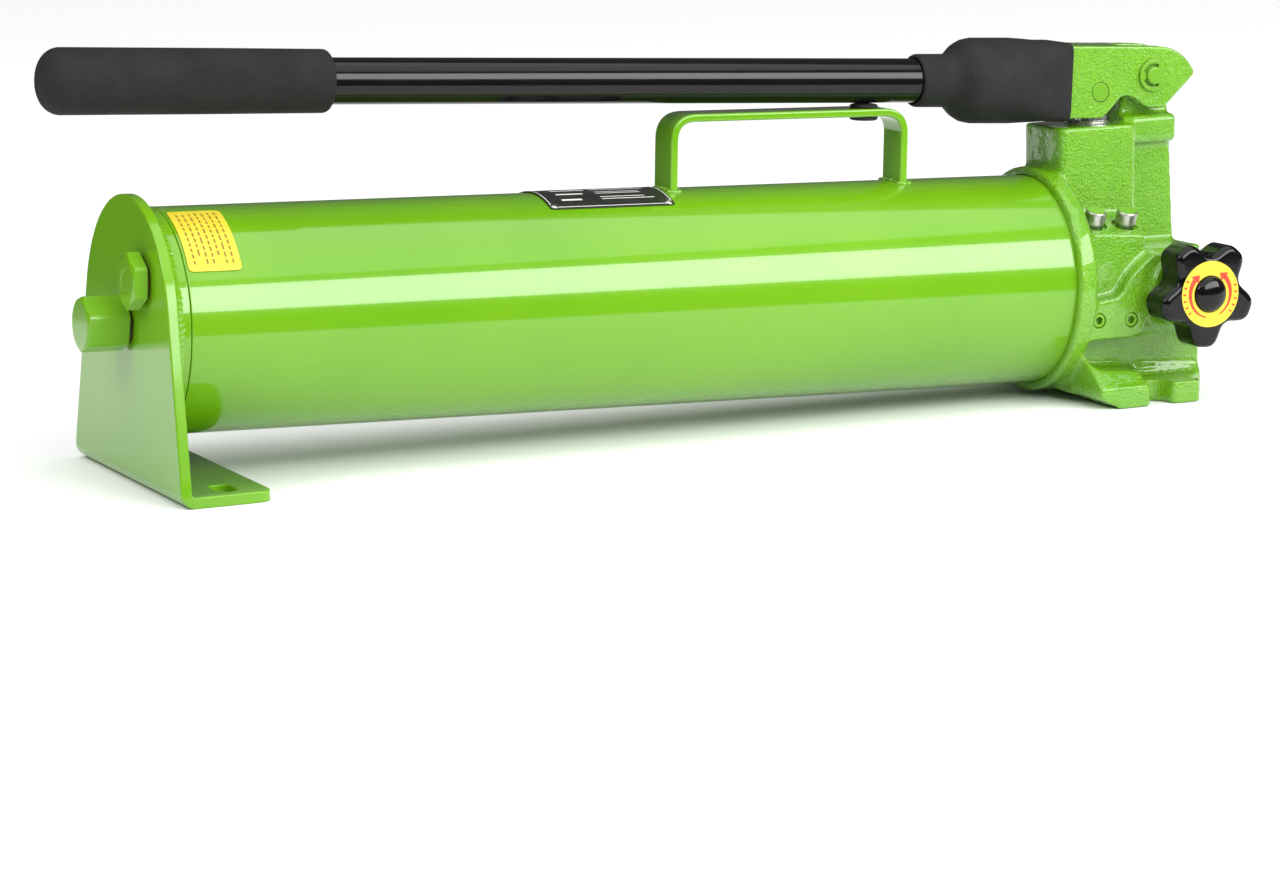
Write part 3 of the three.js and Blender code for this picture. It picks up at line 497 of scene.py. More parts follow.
def printed(name, base, worn, rough):
    """Printed foil: an even ink with a faint screen and scuffs."""
    tree, shader, at = nodes_of(name)
    scuff = grain(tree, at, 260, 4)
    screen = grain(tree, at, 2600, 1)
    wire(tree, shader, mixed(tree, ranged(tree, scuff, 0, 0.6), base, worn),
         ranged(tree, scuff, rough, rough + 0.12), bumped(tree, screen, 0.00001))


GREEN_DEEP = (0.112, 0.31, 0.005)
GREEN_LIGHT = (0.138, 0.345, 0.006)

gloss_paint("paint", GREEN_DEEP, GREEN_LIGHT, 0.16, 0.00004, 1, 0.2)
gloss_paint("bracket_paint", GREEN_DEEP, GREEN_LIGHT, 0.14, 0.000015, 0.3, 0.4)
gloss_paint("weld_paint", GREEN_DEEP, GREEN_LIGHT, 0.18, 0.0002, 1)
gloss_paint("screw_paint", GREEN_DEEP, GREEN_LIGHT, 0.3, 0.0001, 0.2)
cast_paint("cast_paint", (0.112, 0.325, 0.004), (0.142, 0.37, 0.005))
black_gloss("enamel", 0.004, 0.08, 0.00002)
black_gloss("knob_black", 0.003, 0.1, 0.00004)
matt_foam("foam", 0.013, 950, 0.0007)
matt_foam("boot_rubber", 0.013, 900, 0.0004)
matt_foam("rubber", 0.02, 900, 0.00006)
bare_metal("steel", (0.5, 0.49, 0.46), (0.66, 0.65, 0.62), 0.2)
bare_metal("turned_steel", (0.42, 0.41, 0.38), (0.62, 0.61, 0.57), 0.26, (1, 1, 9), 420)
bare_metal("spring_wire", (0.3, 0.31, 0.33), (0.42, 0.43, 0.45), 0.3)
bare_metal("copper", (0.1, 0.075, 0.045), (0.16, 0.11, 0.06), 0.45)
bare_metal("gauze", (0.5, 0.36, 0.12), (0.68, 0.52, 0.22), 0.4, (1, 1, 1), 1600, 0.0002)
printed("label_yellow", (0.62, 0.5, 0.025), (0.66, 0.55, 0.05), 0.32)
printed("label_ink", (0.24, 0.14, 0.015), (0.3, 0.19, 0.025), 0.4)
printed("label_red", (0.56, 0.035, 0.012), (0.6, 0.06, 0.025), 0.35)
printed("plate_black", (0.012, 0.014, 0.011), (0.028, 0.03, 0.026), 0.3)
printed("plate_white", (0.7, 0.72, 0.68), (0.8, 0.82, 0.78), 0.35)


# ---------------- reservoir

TUBE_LOW, TUBE_HIGH = span("reservoir_tube", TANK)
TUBE_R = span("rear_end_cap", TANK)[1].z
TUBE_WALL = 4
PLATE_SEAT = span("rear_end_cap", TANK)[0].x - 0.3
WELD_LEG = 4.6
WELD_HOLLOW = 0.88


def reservoir_tube():
    rear, front = TUBE_LOW.x, TUBE_HIGH.x
    profile = [(rear, TUBE_R - TUBE_WALL), (rear, TUBE_R), (front, TUBE_R), (front, TUBE_R - TUBE_WALL)]
    return spin(profile, 256, radius=0.7, closed=True)


def rear_end_cap():
    low, high = span("rear_end_cap", TANK)
    seam = TUBE_LOW.x - 0.3
    spigot = TUBE_R - TUBE_WALL - 0.4
    bore = 9
    return spin([(low.x, bore), (low.x, TUBE_R), (seam, TUBE_R), (seam, spigot), (high.x, spigot),
                 (high.x, bore)], 256, radius=0.7, closed=True)


def weld_ring():
    """The fillet weld between the end cap and the plate: overlapping ripples of one long run."""
    root_r = TUBE_R - 1.5
    count = 900
    ripples = 115
    rings = []
    for k in range(count):
        a = k * FULL / count
        seat = Vector((0, cos(a), sin(a)))
        ripple = (k * ripples / count) % 1
        size = WELD_LEG * (0.95 + 0.16 * noise.noise(seat * 9)) + 1.0 * sin(ripple * pi)
        size += 0.5 * noise.noise(seat * 40)
        drift = 0.5 * noise.noise(seat * 5 + Vector((7, 0, 0)))
        ring = []
        for turn in (-0.1, 0.12, 0.3, 0.5, 0.7, 0.88, 1.1):
            b = turn * QUARTER
            x = PLATE_SEAT + (size + drift) * (1 - WELD_HOLLOW * sin(b)) * (turn < 1)
            r = TUBE_R - 0.4 + (size - drift) * (1 - WELD_HOLLOW * cos(b)) * (turn > 0)
            ring.append((x, r * seat.y, r * seat.z))
        rings.append(ring + [(PLATE_SEAT, root_r * seat.y, root_r * seat.z)])
    return loft(rings, closed=True)


HEX_ACROSS = 27
PLATE_THICK = 6
PLATE_BEND = 8.2
PLATE_EDGE = 0.9
PLATE_CORNER = 9
PLATE_TOP_R = 67.1
FLARE = 0.211
SLOT = {"x": -562.5, "y": 68, "width": 11, "length": 20}


def bracket_outline(straight, length, half):
    """The flat sheet's outline: round at the top and flared down to the foot."""
    lean = atan(FLARE)
    top = [Vector((-PLATE_TOP_R * sin(a), PLATE_TOP_R * cos(a)))
           for a in (lean + k * (pi - 2 * lean) / 96 for k in range(97))]
    foot = softened([(top[-1].x, top[-1].y), (straight, -half), (length, -half),
                     (length, half), (straight, half), (top[0].x, top[0].y)], PLATE_CORNER, 8)
    return top + foot[1:-1]


def bracket_holes(slot_x):
    """The holes for the tie rod and the oil plug, and the two bolt slots in the foot."""
    plug = middle("filler_plug", TANK)
    holes = [circle(8.4, 40, clockwise=True), circle(9.5, 40, -plug.z, plug.y, clockwise=True)]
    half_w, half_l = SLOT["width"] / 2, SLOT["length"] / 2
    for y in (-SLOT["y"], SLOT["y"]):
        loop = rounded_box(slot_x - half_w, slot_x + half_w, y - half_l, y + half_l, half_w, 8)
        holes.append(loop[::-1])
    return holes


def rear_bracket():
    """The end plate with its foot, drawn flat and then bent. On the flat sheet x runs down from the tank's
    axis and y runs across."""
    high = span("rear_bracket")[1]
    start = TANK @ Vector((PLATE_SEAT - PLATE_THICK, 0, 0))
    down = (TANK.to_3x3() @ Vector((0, 0, -1))).normalized()
    turn = acos(down.x)
    drop = start.z / -down.z
    tangent = PLATE_BEND * tan(turn / 2)
    straight = drop - tangent
    bend = PLATE_BEND * turn
    corner_x = start.x + down.x * drop
    floor_run = high.x - corner_x - tangent
    slot_x = straight + bend + (SLOT["x"] - corner_x - tangent)
    outline = bracket_outline(straight, straight + bend + floor_run, high.y - 0.3)
    mesh = slab(outline, PLATE_THICK, PLATE_EDGE, bracket_holes(slot_x))
    sliced(mesh, 0, [straight + bend * k / 14 for k in range(15)])
    for face in mesh.faces:
        if straight < face.calc_center_median().x < straight + bend:
            face.smooth = True

    def bent(p):
        u, y, depth = p
        inward = Vector((-down.z, 0, down.x))
        if u <= straight:
            at = start + down * u
            normal = inward
        else:
            angle = min(u - straight, bend) / PLATE_BEND
            centre = start + down * straight + inward * PLATE_BEND
            normal = inward * cos(angle) - down * sin(angle)
            at = centre - normal * PLATE_BEND
            if u > straight + bend:
                at = Vector((corner_x + tangent + (u - straight - bend), 0, 0))
                normal = Vector((0, 0, 1))
        return at + normal * depth + Vector((0, y, 0))

    return moved(mesh, bent)


def hexagon(across, height, chamfer_r, slope, recess=None, turn=0.0, segments=240):
    """A hexagon bar from x = 0 to height whose outer face is turned to a cone at the corners."""
    def side(a):
        sector = (a - turn + pi / 6) % (pi / 3) - pi / 6
        return min(across / 2 / cos(sector), across / sqrt(3) - 0.45)

    angles = [k * FULL / segments for k in range(segments)]
    rows = [[(0, side(a) - 0.3) for a in angles], [(0.35, side(a)) for a in angles]]
    for k in range(6):
        beyond = [(side(a) - chamfer_r) * (1 - k / 5) for a in angles]
        rows.append([(height - extra * slope, chamfer_r + extra) for extra in beyond])
    if recess:
        radius, depth = recess
        rows += [[(height, radius + 0.5)] * segments, [(height - depth, radius)] * segments]
    rings = [[(x, r * cos(a), r * sin(a)) for (x, r), a in zip(row, angles)] for row in rows]
    end = height - (recess[1] if recess else 0)
    return loft([[(0, 0, 0)], *rings, [(end, 0, 0)]])


def outwards(node):
    """A frame for a hexagon on the rear plate: X points away from the tank."""
    centre = middle(node, TANK)
    return TANK @ shift(0, centre.y, centre.z) @ Matrix.Rotation(pi, 4, "Z")


def tie_rod_nut():
    low, high = span("tie_rod_nut", TANK)
    mesh = hexagon(HEX_ACROSS, high.x - low.x, 12.8, 0.5, turn=radians(-70))
    return placed(mesh, shift(-high.x))


def filler_plug():
    low, high = span("filler_plug", TANK)
    seat = span("filler_seal", TANK)[0].x - 0.3
    head = hexagon(HEX_ACROSS, seat - low.x, 12.4, 0.42, recess=(6.2, 0.35))
    shank = spin([(-1, 0), (-1, 8.6), (seat - high.x, 8.6, 1), (seat - high.x, 0)], 48)
    pitch, turns = 1.5, 15
    ridges = []
    for k in range(turns):
        ridges += [(-4 - k * pitch, 9.0), (-4 - (k + 0.5) * pitch, 8.1)]
    thread = spin([(-2.5, 0), *ridges, (-4 - turns * pitch, 0)], 48, radius=0.1, steps=1)
    return placed(together(head, shank, thread), shift(-seat))


def washer(node, inner):
    low, high = span(node, TANK)
    centre = (low + high) / 2
    outer = (high.z - low.z) / 2 - 0.8
    mesh = spin([(low.x, inner), (low.x, outer), (high.x, outer), (high.x, inner)], 64, 0.3, closed=True)
    return placed(mesh, shift(0, centre.y, centre.z))


STRAP_THICK = 4.5
STRAP_CORNER = 13


def strap_path(low, high, foot):
    """The middle line of the carrying strap, from one foot over the top to the other."""
    half = STRAP_THICK / 2
    x0, x1, top = low.x + half, high.x - half, high.z - half
    return softened([(x0, foot), (x0, top, STRAP_CORNER), (x1, top, STRAP_CORNER), (x1, foot)], 0, 14)


def carry_handle():
    low, high = span("carry_handle", TANK)
    path = strap_path(low, high, TUBE_R - 2.2)
    half_t, half_w = STRAP_THICK / 2, (high.y - low.y) / 2
    section = rounded_box(-half_t, half_t, -half_w, half_w, 1.5, 4)
    rings = []
    for i, p in enumerate(path):
        along = (path[min(i + 1, len(path) - 1)] - path[max(i - 1, 0)]).normalized()
        out = Vector((-along.y, along.x))
        wobble = 0.12 * noise.noise(Vector((p.x, p.y, 3)) * 0.05)
        rings.append([(p.x + out.x * (s.x + wobble), s.y, p.y + out.y * (s.x + wobble)) for s in section])
    return loft(rings)


def foot_weld(x, seed):
    """A lumpy bead around one foot of the strap, on the round of the tube."""
    low, high = span("carry_handle", TANK)
    half_t, half_w = STRAP_THICK / 2 + 0.9, (high.y - low.y) / 2 + 0.7
    loop = rounded_box(-half_t, half_t, -half_w, half_w, 2.2, 8)
    dense = []
    for a, b in zip(loop, loop[1:] + loop[:1]):
        pieces = max(1, int((b - a).length / 0.5))
        dense += [a + (b - a) * k / pieces for k in range(pieces)]
    rings = []
    for i, p in enumerate(dense):
        here = Vector((x + p.x, p.y, sqrt(TUBE_R ** 2 - p.y ** 2)))
        up = Vector((0, here.y, here.z)).normalized()
        ahead = dense[(i + 1) % len(dense)] - p
        side = Vector((ahead.y, -ahead.x, 0)).normalized()
        lump = noise.noise(here * 0.35 + Vector((seed, 0, 0)))
        size = 1.35 + 0.7 * lump + 0.16 * sin(i * 0.9)
        rings.append([here + side * size * cos(a) + up * size * 0.85 * sin(a)
                      for a in (k * FULL / 12 for k in range(12))])
    return loft(rings, closed=True)


def spatter():
    """Drops of weld metal under the paint, around the strap's feet."""
    low, high = span("carry_handle", TANK)
    drops = []
    for k in range(26):
        foot = low.x if k % 2 else high.x
        x = foot + (-1 if k % 2 else 1) * (1.5 + 9 * abs(noise.noise((k * 3.7, 1, 0))))
        y = 16 * noise.noise((k * 2.9, 5, 0))
        size = 0.35 + 0.5 * abs(noise.noise((k * 1.3, 9, 0)))
        drop = bmesh.new()
        bmesh.ops.create_icosphere(drop, subdivisions=2, radius=size)
        drop.transform(shift(x, y, sqrt(TUBE_R ** 2 - y ** 2)))
        drops.append(drop)
    return together(*drops)


def handle_bumper():
    low, high = span("handle_bumper", TANK)
    r = (high.y - low.y) / 2
    strap = span("carry_handle", TANK)[1].z
    neck_r = 5
    under, over = strap - STRAP_THICK - 0.3, strap + 0.3
    mesh = spin([(low.z, 0), (low.z, r - 0.9, 0.8), (low.z + 0.8, r, 0.8), (under, r), (under, neck_r, 0.2),
                 (over, neck_r, 0.2), (over, r), (high.z - 0.6, r - 0.2, 1), (high.z, r - 2.6, 1),
                 (high.z, 0)], 64, 0.4)
    at = middle("handle_bumper", TANK)
    return placed(mesh, shift(at.x, at.y, 0) @ Matrix.Rotation(-QUARTER, 4, "Y"))


# ---------------- plates and labels on the tube

def wrapped(mesh, radius, centre_angle):
    """Bends a flat sheet round the tube: x runs along the tube, y round it, z outwards."""
    def rule(p):
        a = p.y / radius + centre_angle
        r = radius + p.z
        return Vector((p.x, r * -sin(a), r * cos(a)))

    edge = [v.co.y for v in mesh.verts]
    count = max(2, int((max(edge) - min(edge)) / 1.5))
    sliced(mesh, 1, [min(edge) + (max(edge) - min(edge)) * k / count for k in range(1, count)])
    return moved(smoothed(mesh), rule)


def sheet_place(node):
    """Both ends, half the width along the arc, the middle's angle and the outer radius of a curved sheet."""
    low, high = span(node, TANK)
    q = local_points(node, TANK)
    angles = np.arctan2(-q[:, 1], q[:, 2])
    radius = float(np.hypot(q[:, 1], q[:, 2]).max())
    first, last = float(angles.min()), float(angles.max())
    return low.x, high.x, (last - first) / 2 * radius, (first + last) / 2, radius


def foil(node, corner, thick, edge):
    x0, x1, half, centre, radius = sheet_place(node)
    return wrapped(slab(rounded_box(x0, x1, -half, half, corner), thick, edge), radius - thick - 0.05, centre)


def inked(outline, holes=()):
    """A printed shape, a few hundredths thick."""
    return slab(outline, 0.05, 0.01, holes, steps=1)


def mark(x0, x1, y0, y1, corner=0.15):
    return inked(rounded_box(x0, x1, y0, y1, corner, 2))


def nameplate_marks():
    """A border line and generic rows of bars."""
    x0, x1, half, centre, radius = sheet_place("nameplate")
    parts = [inked(rounded_box(x0 + 1, x1 - 1, 1 - half, half - 1, 2),
                   [rounded_box(x0 + 1.5, x1 - 1.5, 1.5 - half, half - 1.5, 1.6)[::-1]])]
    for row in range(4):
        y = half - 9 - row * 8.5
        parts.append(mark(x0 + 10, x0 + 22 + 4 * (row % 3), y - 0.9, y + 0.9))
        parts.append(mark(x0 + 34, x1 - 9 - 5 * (row % 2), y - 0.35, y + 0.35))
        parts.append(mark(x0 + 34, x1 - 14, y - 3.1, y - 2.4))
    seal = (x0 + 16, half - 46)
    parts.append(inked(circle(4.2, 40, *seal), [circle(3.4, 40, *seal, clockwise=True)]))
    return wrapped(together(*parts), radius, centre)


def instruction_marks():
    """Seven columns of short generic bars."""
    x0, x1, half, centre, radius = sheet_place("instruction_label")
    parts = []
    columns = 7
    for column in range(columns):
        x = x0 + 4 + column * (x1 - x0 - 8) / (columns - 1)
        y = half - 4 - 5 * (column in (1, 4))
        word = 0
        while y > 5 - half:
            long = 2.2 + 3.6 * abs(noise.noise((column * 1.7, word * 2.3, 4)))
            lower = max(3 - half, y - long)
            parts.append(mark(x - 0.5, x + 0.5, lower, y, 0.3))
            y = lower - 1.3
            word += 1
    return wrapped(together(*parts), radius, centre)


def rivet(node):
    """A round-headed rivet seen from outside the tube."""
    at = middle(node, TANK)
    out = Vector((0, at.y, at.z)).normalized()
    seat = hypot(at.y, at.z) - 0.8
    mesh = spin([(0, 0), (0, 2.3, 0.15), (0.35, 2.25, 0.3), (0.8, 1.5, 0.8), (1, 0)], 32)
    place = looking(out, Vector((at.x, out.y * seat, out.z * seat)), level=(1, 0, 0))
    return placed(mesh, place)


piece("tank_tube", reservoir_tube(), "paint", TANK, stands_for="reservoir_tube")
piece("tank_end_cap", rear_end_cap(), "paint", TANK, stands_for="rear_end_cap")
piece("tank_end_weld", weld_ring(), "weld_paint", TANK, sharp=60)
piece("foot_bracket", rear_bracket(), "bracket_paint", stands_for="rear_bracket")
piece("end_nut", tie_rod_nut(), "bracket_paint", outwards("tie_rod_nut"), stands_for="tie_rod_nut",
      sharp=25)
piece("oil_plug", filler_plug(), "bracket_paint", outwards("filler_plug"), "filler_plug", "filler_plug", 25)
piece("nut_washer", washer("tie_rod_washer", 8.3), "copper", TANK, stands_for="tie_rod_washer")
piece("plug_washer", washer("filler_seal", 9.3), "copper", TANK, "filler_seal", "filler_seal")
piece("strap", carry_handle(), "paint", TANK, stands_for="carry_handle")
STRAP_LOW, STRAP_HIGH = span("carry_handle", TANK)
for index, foot_x in enumerate((STRAP_LOW.x + STRAP_THICK / 2, STRAP_HIGH.x - STRAP_THICK / 2)):
    piece(f"strap_weld_{index + 1}", foot_weld(foot_x, index * 5), "weld_paint", TANK, sharp=80)
piece("weld_spatter", spatter(), "weld_paint", TANK, sharp=80)
piece("bumper", handle_bumper(), "rubber", TANK, stands_for="handle_bumper")
piece("data_plate", foil("nameplate", 2.5, 0.45, 0.15), "plate_black", TANK, stands_for="nameplate")
piece("data_plate_marks", nameplate_marks(), "plate_white", TANK)
piece("tank_label", foil("instruction_label", 3, 0.35, 0.1), "label_yellow", TANK,
      stands_for="instruction_label")
piece("tank_label_marks", instruction_marks(), "label_ink", TANK)
for number in range(1, 5):
    name = f"nameplate_rivet_{number}"
    piece(f"rivet_{number}", rivet(name), "steel", TANK, stands_for=name)


# ---------------- pump head

PAD_FACE = span("relief_screw")[0].y - 0.6
BOSS_FACE = span("spindle_gland")[0].y + 2.5
BLOCK_TOP = span("cylinder_gland")[1].z - 2.1
PORT_FACE = 50
PORT_Z = 42
PORT_R = 8.6
COLLAR_FACE = -8.7
COLLAR_FILLET = [(-6, 50), (-6, 63), (1.5, 65), (3, 63.5), (5, 60.5), (6, 58), (6, 50)]
VALVES = ("discharge", "unloader")
SET_SCREWS = ("relief_screw", "gallery_plug")
VALVE_TILT = radians(18)
VALVE_UP = Vector((0, -sin(VALVE_TILT), cos(VALVE_TILT)))


def valve_place(name):
    """A frame on the ledge at a valve cap's seat, with X out of the ledge."""
    return looking(VALVE_UP, middle(f"{name}_valve_cap") + VALVE_UP * 1.5, level=(1, 0, 0))


def rod(radius, start, end, segments=64):
    return spin([(start, 0), (start, radius, 0), (end, radius, 0), (end, 0)], segments)


def screw_place(node):
    at = middle(node)
    return crosswise((at.x, PAD_FACE, at.z), -1)


def head_plugs():
    """Solid cores in the head's machined holes, each flush with the casting around it."""
    knob = crosswise((KNOB.translation.x, 0, KNOB.translation.z), -1)
    plugs = [
        placed(rod(14.4, 30, BLOCK_TOP), UPRIGHT),
        placed(rod(10.8, 0, -BOSS_FACE), knob),
        placed(rod(PORT_R + 0.5, PORT_FACE - 20, PORT_FACE), looking((1, 0, 0), (0, 0, PORT_Z))),
        placed(rod(TUBE_R + 0.6, COLLAR_FACE, 0.8, 128), TANK),
        placed(rod(6.2, -6.8, 6.8), crosswise(PIVOT)),
        placed(spin(COLLAR_FILLET, 192, 0, closed=True), TANK),
    ]
    plugs += [placed(rod(8.4, -24, 0.15), valve_place(name)) for name in VALVES]
    plugs += [placed(rod(4.8, -30, 0), screw_place(node)) for node in SET_SCREWS]
    return plugs


def bore(*steps, mouth=0.4):
    """A stepped hole: pairs of depth and radius from the mouth inwards, with a chamfer at the mouth."""
    first = steps[0][1]
    profile = [(3, 0), (3, first + mouth, 0), (0, first + mouth, 0), (-mouth, first, 0)]
    for (depth, radius), following in zip(steps, steps[1:] + ((None, 0),)):
        profile += [(-depth, radius, 0), (-depth, following[1], 0)]
    return spin(profile, 72)


def threaded_port():
    crest = PORT_R - 0.7
    pitch = 1.8
    profile = [(3, 0), (3, PORT_R + 1.2, 0), (0, PORT_R + 1.2, 0), (-1.2, PORT_R, 0)]
    for k in range(7):
        x = -1.6 - k * pitch
        profile += [(x, crest, 0), (x - pitch / 2, PORT_R, 0)]
    profile += [(-15.5, crest, 0), (-16, 2, 0), (-24, 2, 0), (-24, 0)]
    return placed(spin(profile, 72), shift(PORT_FACE, 0, PORT_Z))


def head_cuts():
    knob = crosswise((KNOB.translation.x, BOSS_FACE, KNOB.translation.z), -1)
    top = UPRIGHT @ shift(BLOCK_TOP)
    inner, outer, start = TUBE_R - TUBE_WALL - 0.3, TUBE_R + 0.35, COLLAR_FACE - 8
    collar = [(start, inner, 0), (start, outer, 0), (0.3, outer, 0), (0.3, inner, 0)]
    cuts = [
        placed(bore((BLOCK_TOP - 122, 13.8), (BLOCK_TOP - 66, 11.3), (BLOCK_TOP - 52, 5.2)), top),
        placed(bore((-BOSS_FACE - 44, 10.3), (-BOSS_FACE - 14, 6.3)), knob),
        placed(spin(collar, 256, closed=True), TANK),
        placed(rod(5.8, -9, 9), crosswise(PIVOT)),
        threaded_port(),
    ]
    cuts += [placed(bore((1.7, 7.5), (13.5, 5.35), (30.4, 4.4), mouth=0.5), valve_place(name))
             for name in VALVES]
    cuts += [placed(bore((9.5, 4.3), (26, 3.4), mouth=0.5), screw_place(node)) for node in SET_SCREWS]
    return cuts


def valve_cap():
    """A slim round-headed plug with a machined waist and a turned top."""
    shank_r, waist_r, head_r, top = 4.9, 5.4, 6, 8.75
    return spin([(-12, 0), (-12, shank_r), (-1.2, shank_r), (-0.9, waist_r), (0.7, waist_r + 0.1, 0.3),
                 (1.3, head_r, 0.4), (8.1, head_r, 0.9), (top, waist_r, 0.4), (top, 0)], 96)


def valve_cap_top():
    """The film of paint on the cap's flat end."""
    return spin([(8.6, 0), (8.6, 5.2), (8.98, 5.1, 0.3), (8.98, 0)], 72, 0.1)


def set_screw(length=8):
    """A threaded screw with a hexagon socket, its outer end at x = 0."""
    segments = 72
    angles = [k * FULL / segments for k in range(segments)]

    def socket(x, across):
        flats = [across / 2 / cos(a % (pi / 3) - pi / 6) for a in angles]
        return [(x, r * cos(a), r * sin(a)) for r, a in zip(flats, angles)]

    profile = [(-length, 3.2), (-length + 0.8, 3.95)]
    for k in range(5):
        profile += [(-length + 1.4 + k * 1.1, 3.5), (-length + 1.95 + k * 1.1, 3.95)]
    profile += [(-0.6, 3.95), (0, 3.3)]
    threads = [hoop(x, r, segments) for x, r in profile]
    sockets = [socket(-0.05, 4.5), socket(-0.35, 4.1), socket(-3.6, 4.1)]
    return loft([[(-length, 0, 0)], *threads, *sockets, [(-4.4, 0, 0)]])


def gland_ring():
    low, high = span("cylinder_gland")
    outer = (high.x - low.x) / 2
    seat = high.z - 3.6
    return spin([(low.z, 11.4), (low.z, outer), (high.z - 1.1, outer, 0.3), (high.z, outer - 1, 0.4),
                 (high.z, 12.9, 0.3), (seat, 12.8), (seat, 11.4)], 128, 0.25, closed=True)


def plunger_piece():
    """A ground rod whose top is milled to a tongue with a slotted eye."""
    low, high = span("plunger")
    eye = middle("plunger_pin")
    tongue = 6.7
    r = (high.x - low.x) / 2
    profile = [(low.z, 0), (low.z, r - 1.2), (low.z + 1.2, r), (high.z, r, 0.6), (high.z, 0)]
    obj = working("ram", placed(spin(profile, 128, 0.4), UPRIGHT))
    dome_r = 12
    dome = [Vector(p) for p in ((-30, -60), (-30, 40), (30, 40), (30, -60), (dome_r, -60))]
    dome += [polar(k * pi / 24, dome_r) for k in range(25)]
    dome += [Vector((-dome_r, -60))]
    slot = rounded_box(-8.6, 8.6, -6.1, 6.1, 6.05, 10)
    cuts = []
    for outline, z in ((dome[::-1], high.z - dome_r), (slot, eye.z)):
        side_view = Matrix(((1, 0, 0, GLAND.x), (0, 0, -1, 20), (0, 1, 0, z), (0, 0, 0, 1)))
        cuts.append(placed(slab(outline, 40, 0.01, steps=1), side_view))
    for side in (-1, 1):
        flat = bmesh.new()
        bmesh.ops.create_cube(flat, size=40)
        cuts.append(placed(flat, shift(GLAND.x, side * (tongue + 20), 170)))
    carved(obj, cuts)
    finished(obj, 30, "steel", "plunger", "plunger")


cast("head_casting", "pump_head", head_plugs(), head_cuts(), 1.0, 26, 0.16, "root", "cast_paint")
for valve in VALVES:
    piece(f"{valve}_cap", valve_cap(), "turned_steel", valve_place(valve), stands_for=f"{valve}_valve_cap")
    piece(f"{valve}_cap_top", valve_cap_top(), "screw_paint", valve_place(valve))
for number, screw in enumerate(SET_SCREWS):
    inwards = screw_place(screw) @ shift(-0.6) @ Matrix.Rotation(0.3 + number, 4, "X")
    piece(f"socket_screw_{number + 1}", set_screw(), "screw_paint", inwards, stands_for=screw)
piece("gland_ring", gland_ring(), "steel", UPRIGHT, stands_for="cylinder_gland")
plunger_piece()


# ---------------- release knob

KNOB_LOW, KNOB_HIGH = span("release_knob", KNOB)
KNOB_DEPTH = KNOB_HIGH.x - KNOB_LOW.x
KNOB_VALLEY = 21.8
LABEL_LOW, LABEL_HIGH = span("knob_label", KNOB)
LOBES = 5


def lobe_radius(angle, tip, valley, phase):
    swing = 0.5 + 0.5 * cos(LOBES * (angle - phase))
    return valley + (tip - valley) * sin(QUARTER * swing ** 1.3)


def knob_size():
    """The knob's tip radius and the angle of one lobe, from the model's outline."""
    q = local_points("release_knob", KNOB)
    r = np.hypot(q[:, 1], q[:, 2])
    tip = q[r.argmax()]
    return float(r.max()), atan2(tip[2], tip[1])


def star_knob():
    """Broad round lobes with a full radius at the front and a smaller one at the back."""
    tip, phase = knob_size()
    count = LOBES * 48
    angles = [k * FULL / count for k in range(count)]
    outline = [polar(a, lobe_radius(a, tip, KNOB_VALLEY, phase)) for a in angles]
    mesh = slab(outline, KNOB_DEPTH, 4.2, [circle(6.3, 40, clockwise=True)], steps=8, back_edge=1.4)
    placed(mesh, shift(KNOB_LOW.x) @ FACING)
    screw = middle("knob_grub_screw", KNOB)
    hole = placed(rod(2.6, 13.2, 40, 32), looking((0, screw.y, screw.z), (screw.x, 0, 0), (1, 0, 0)))
    star = carved(working("star", mesh), [hole])
    drilled = bmesh.new()
    drilled.from_mesh(star.data)
    bpy.data.objects.remove(star)
    return smoothed(drilled)


def knob_ring(outer, inner, x, thick=0.3):
    return spin([(x, inner), (x, outer), (x + thick, outer), (x + thick, inner)], 128, 0.1, 2, closed=True)


def curved_arrow(start, end, radius, width):
    """A flat arrow that bends round the ring, from one angle to another."""
    head = copysign(0.32, end - start)
    steps = 28
    neck = end - head
    angles = [start + (neck - start) * k / steps for k in range(steps + 1)]
    halves = [width / 2 * (0.25 + 0.75 * k / steps) for k in range(steps + 1)]
    outer = [polar(a, radius + half) for a, half in zip(angles, halves)]
    inner = [polar(a, radius - half) for a, half in zip(angles, halves)]
    barb = [polar(neck, radius + width * 1.15), polar(end, radius), polar(neck, radius - width * 1.15)]
    loop = outer + barb + inner[::-1]
    area = sum(a.x * b.y - b.x * a.y for a, b in zip(loop, loop[1:] + loop[:1]))
    return slab(loop if area > 0 else loop[::-1], 0.05, 0.005, steps=1)


def knob_marks():
    """Two arrows for open and closed, with a row of ticks beside each."""
    parts = [curved_arrow(radians(a), radians(b), 13.4, 2.9) for a, b in ((-62, 62), (258, 122))]
    for first, count in ((-38, 5), (152, 6)):
        for k in range(count):
            a = radians(first + k * 13)
            tick = mark(16.0, 18.1, -0.5, 0.5, 0.15)
            parts.append(placed(tick, Matrix.Rotation(a, 4, "Z")))
    return placed(together(*parts), shift(LABEL_HIGH.x) @ FACING)


def knob_dome():
    low, high = span("knob_cap", KNOB)
    r = (high.y - low.y) / 2
    front = KNOB_HIGH.x
    dome = [(front + (high.x - front) * sin(a), r * cos(a), 0)
            for a in (k * QUARTER / 16 for k in range(1, 17))]
    spigot_r = 5.8
    return spin([(low.x, 0), (low.x, spigot_r), (front - 0.2, spigot_r), (front + 0.1, r - 0.2),
                 (front + 0.4, r), *dome], 96)


piece("star_knob", star_knob(), "knob_black", KNOB, "release_valve", "release_knob", sharp=50)
piece("knob_ring", knob_ring(LABEL_HIGH.z, 10.6, LABEL_LOW.x + 0.05), "label_yellow", KNOB, "release_valve",
      "knob_label")
piece("knob_ring_marks", knob_marks(), "label_red", KNOB, "release_valve")
piece("knob_dome", knob_dome(), "knob_black", KNOB, "release_valve", "knob_cap", sharp=60)


# ---------------- lever

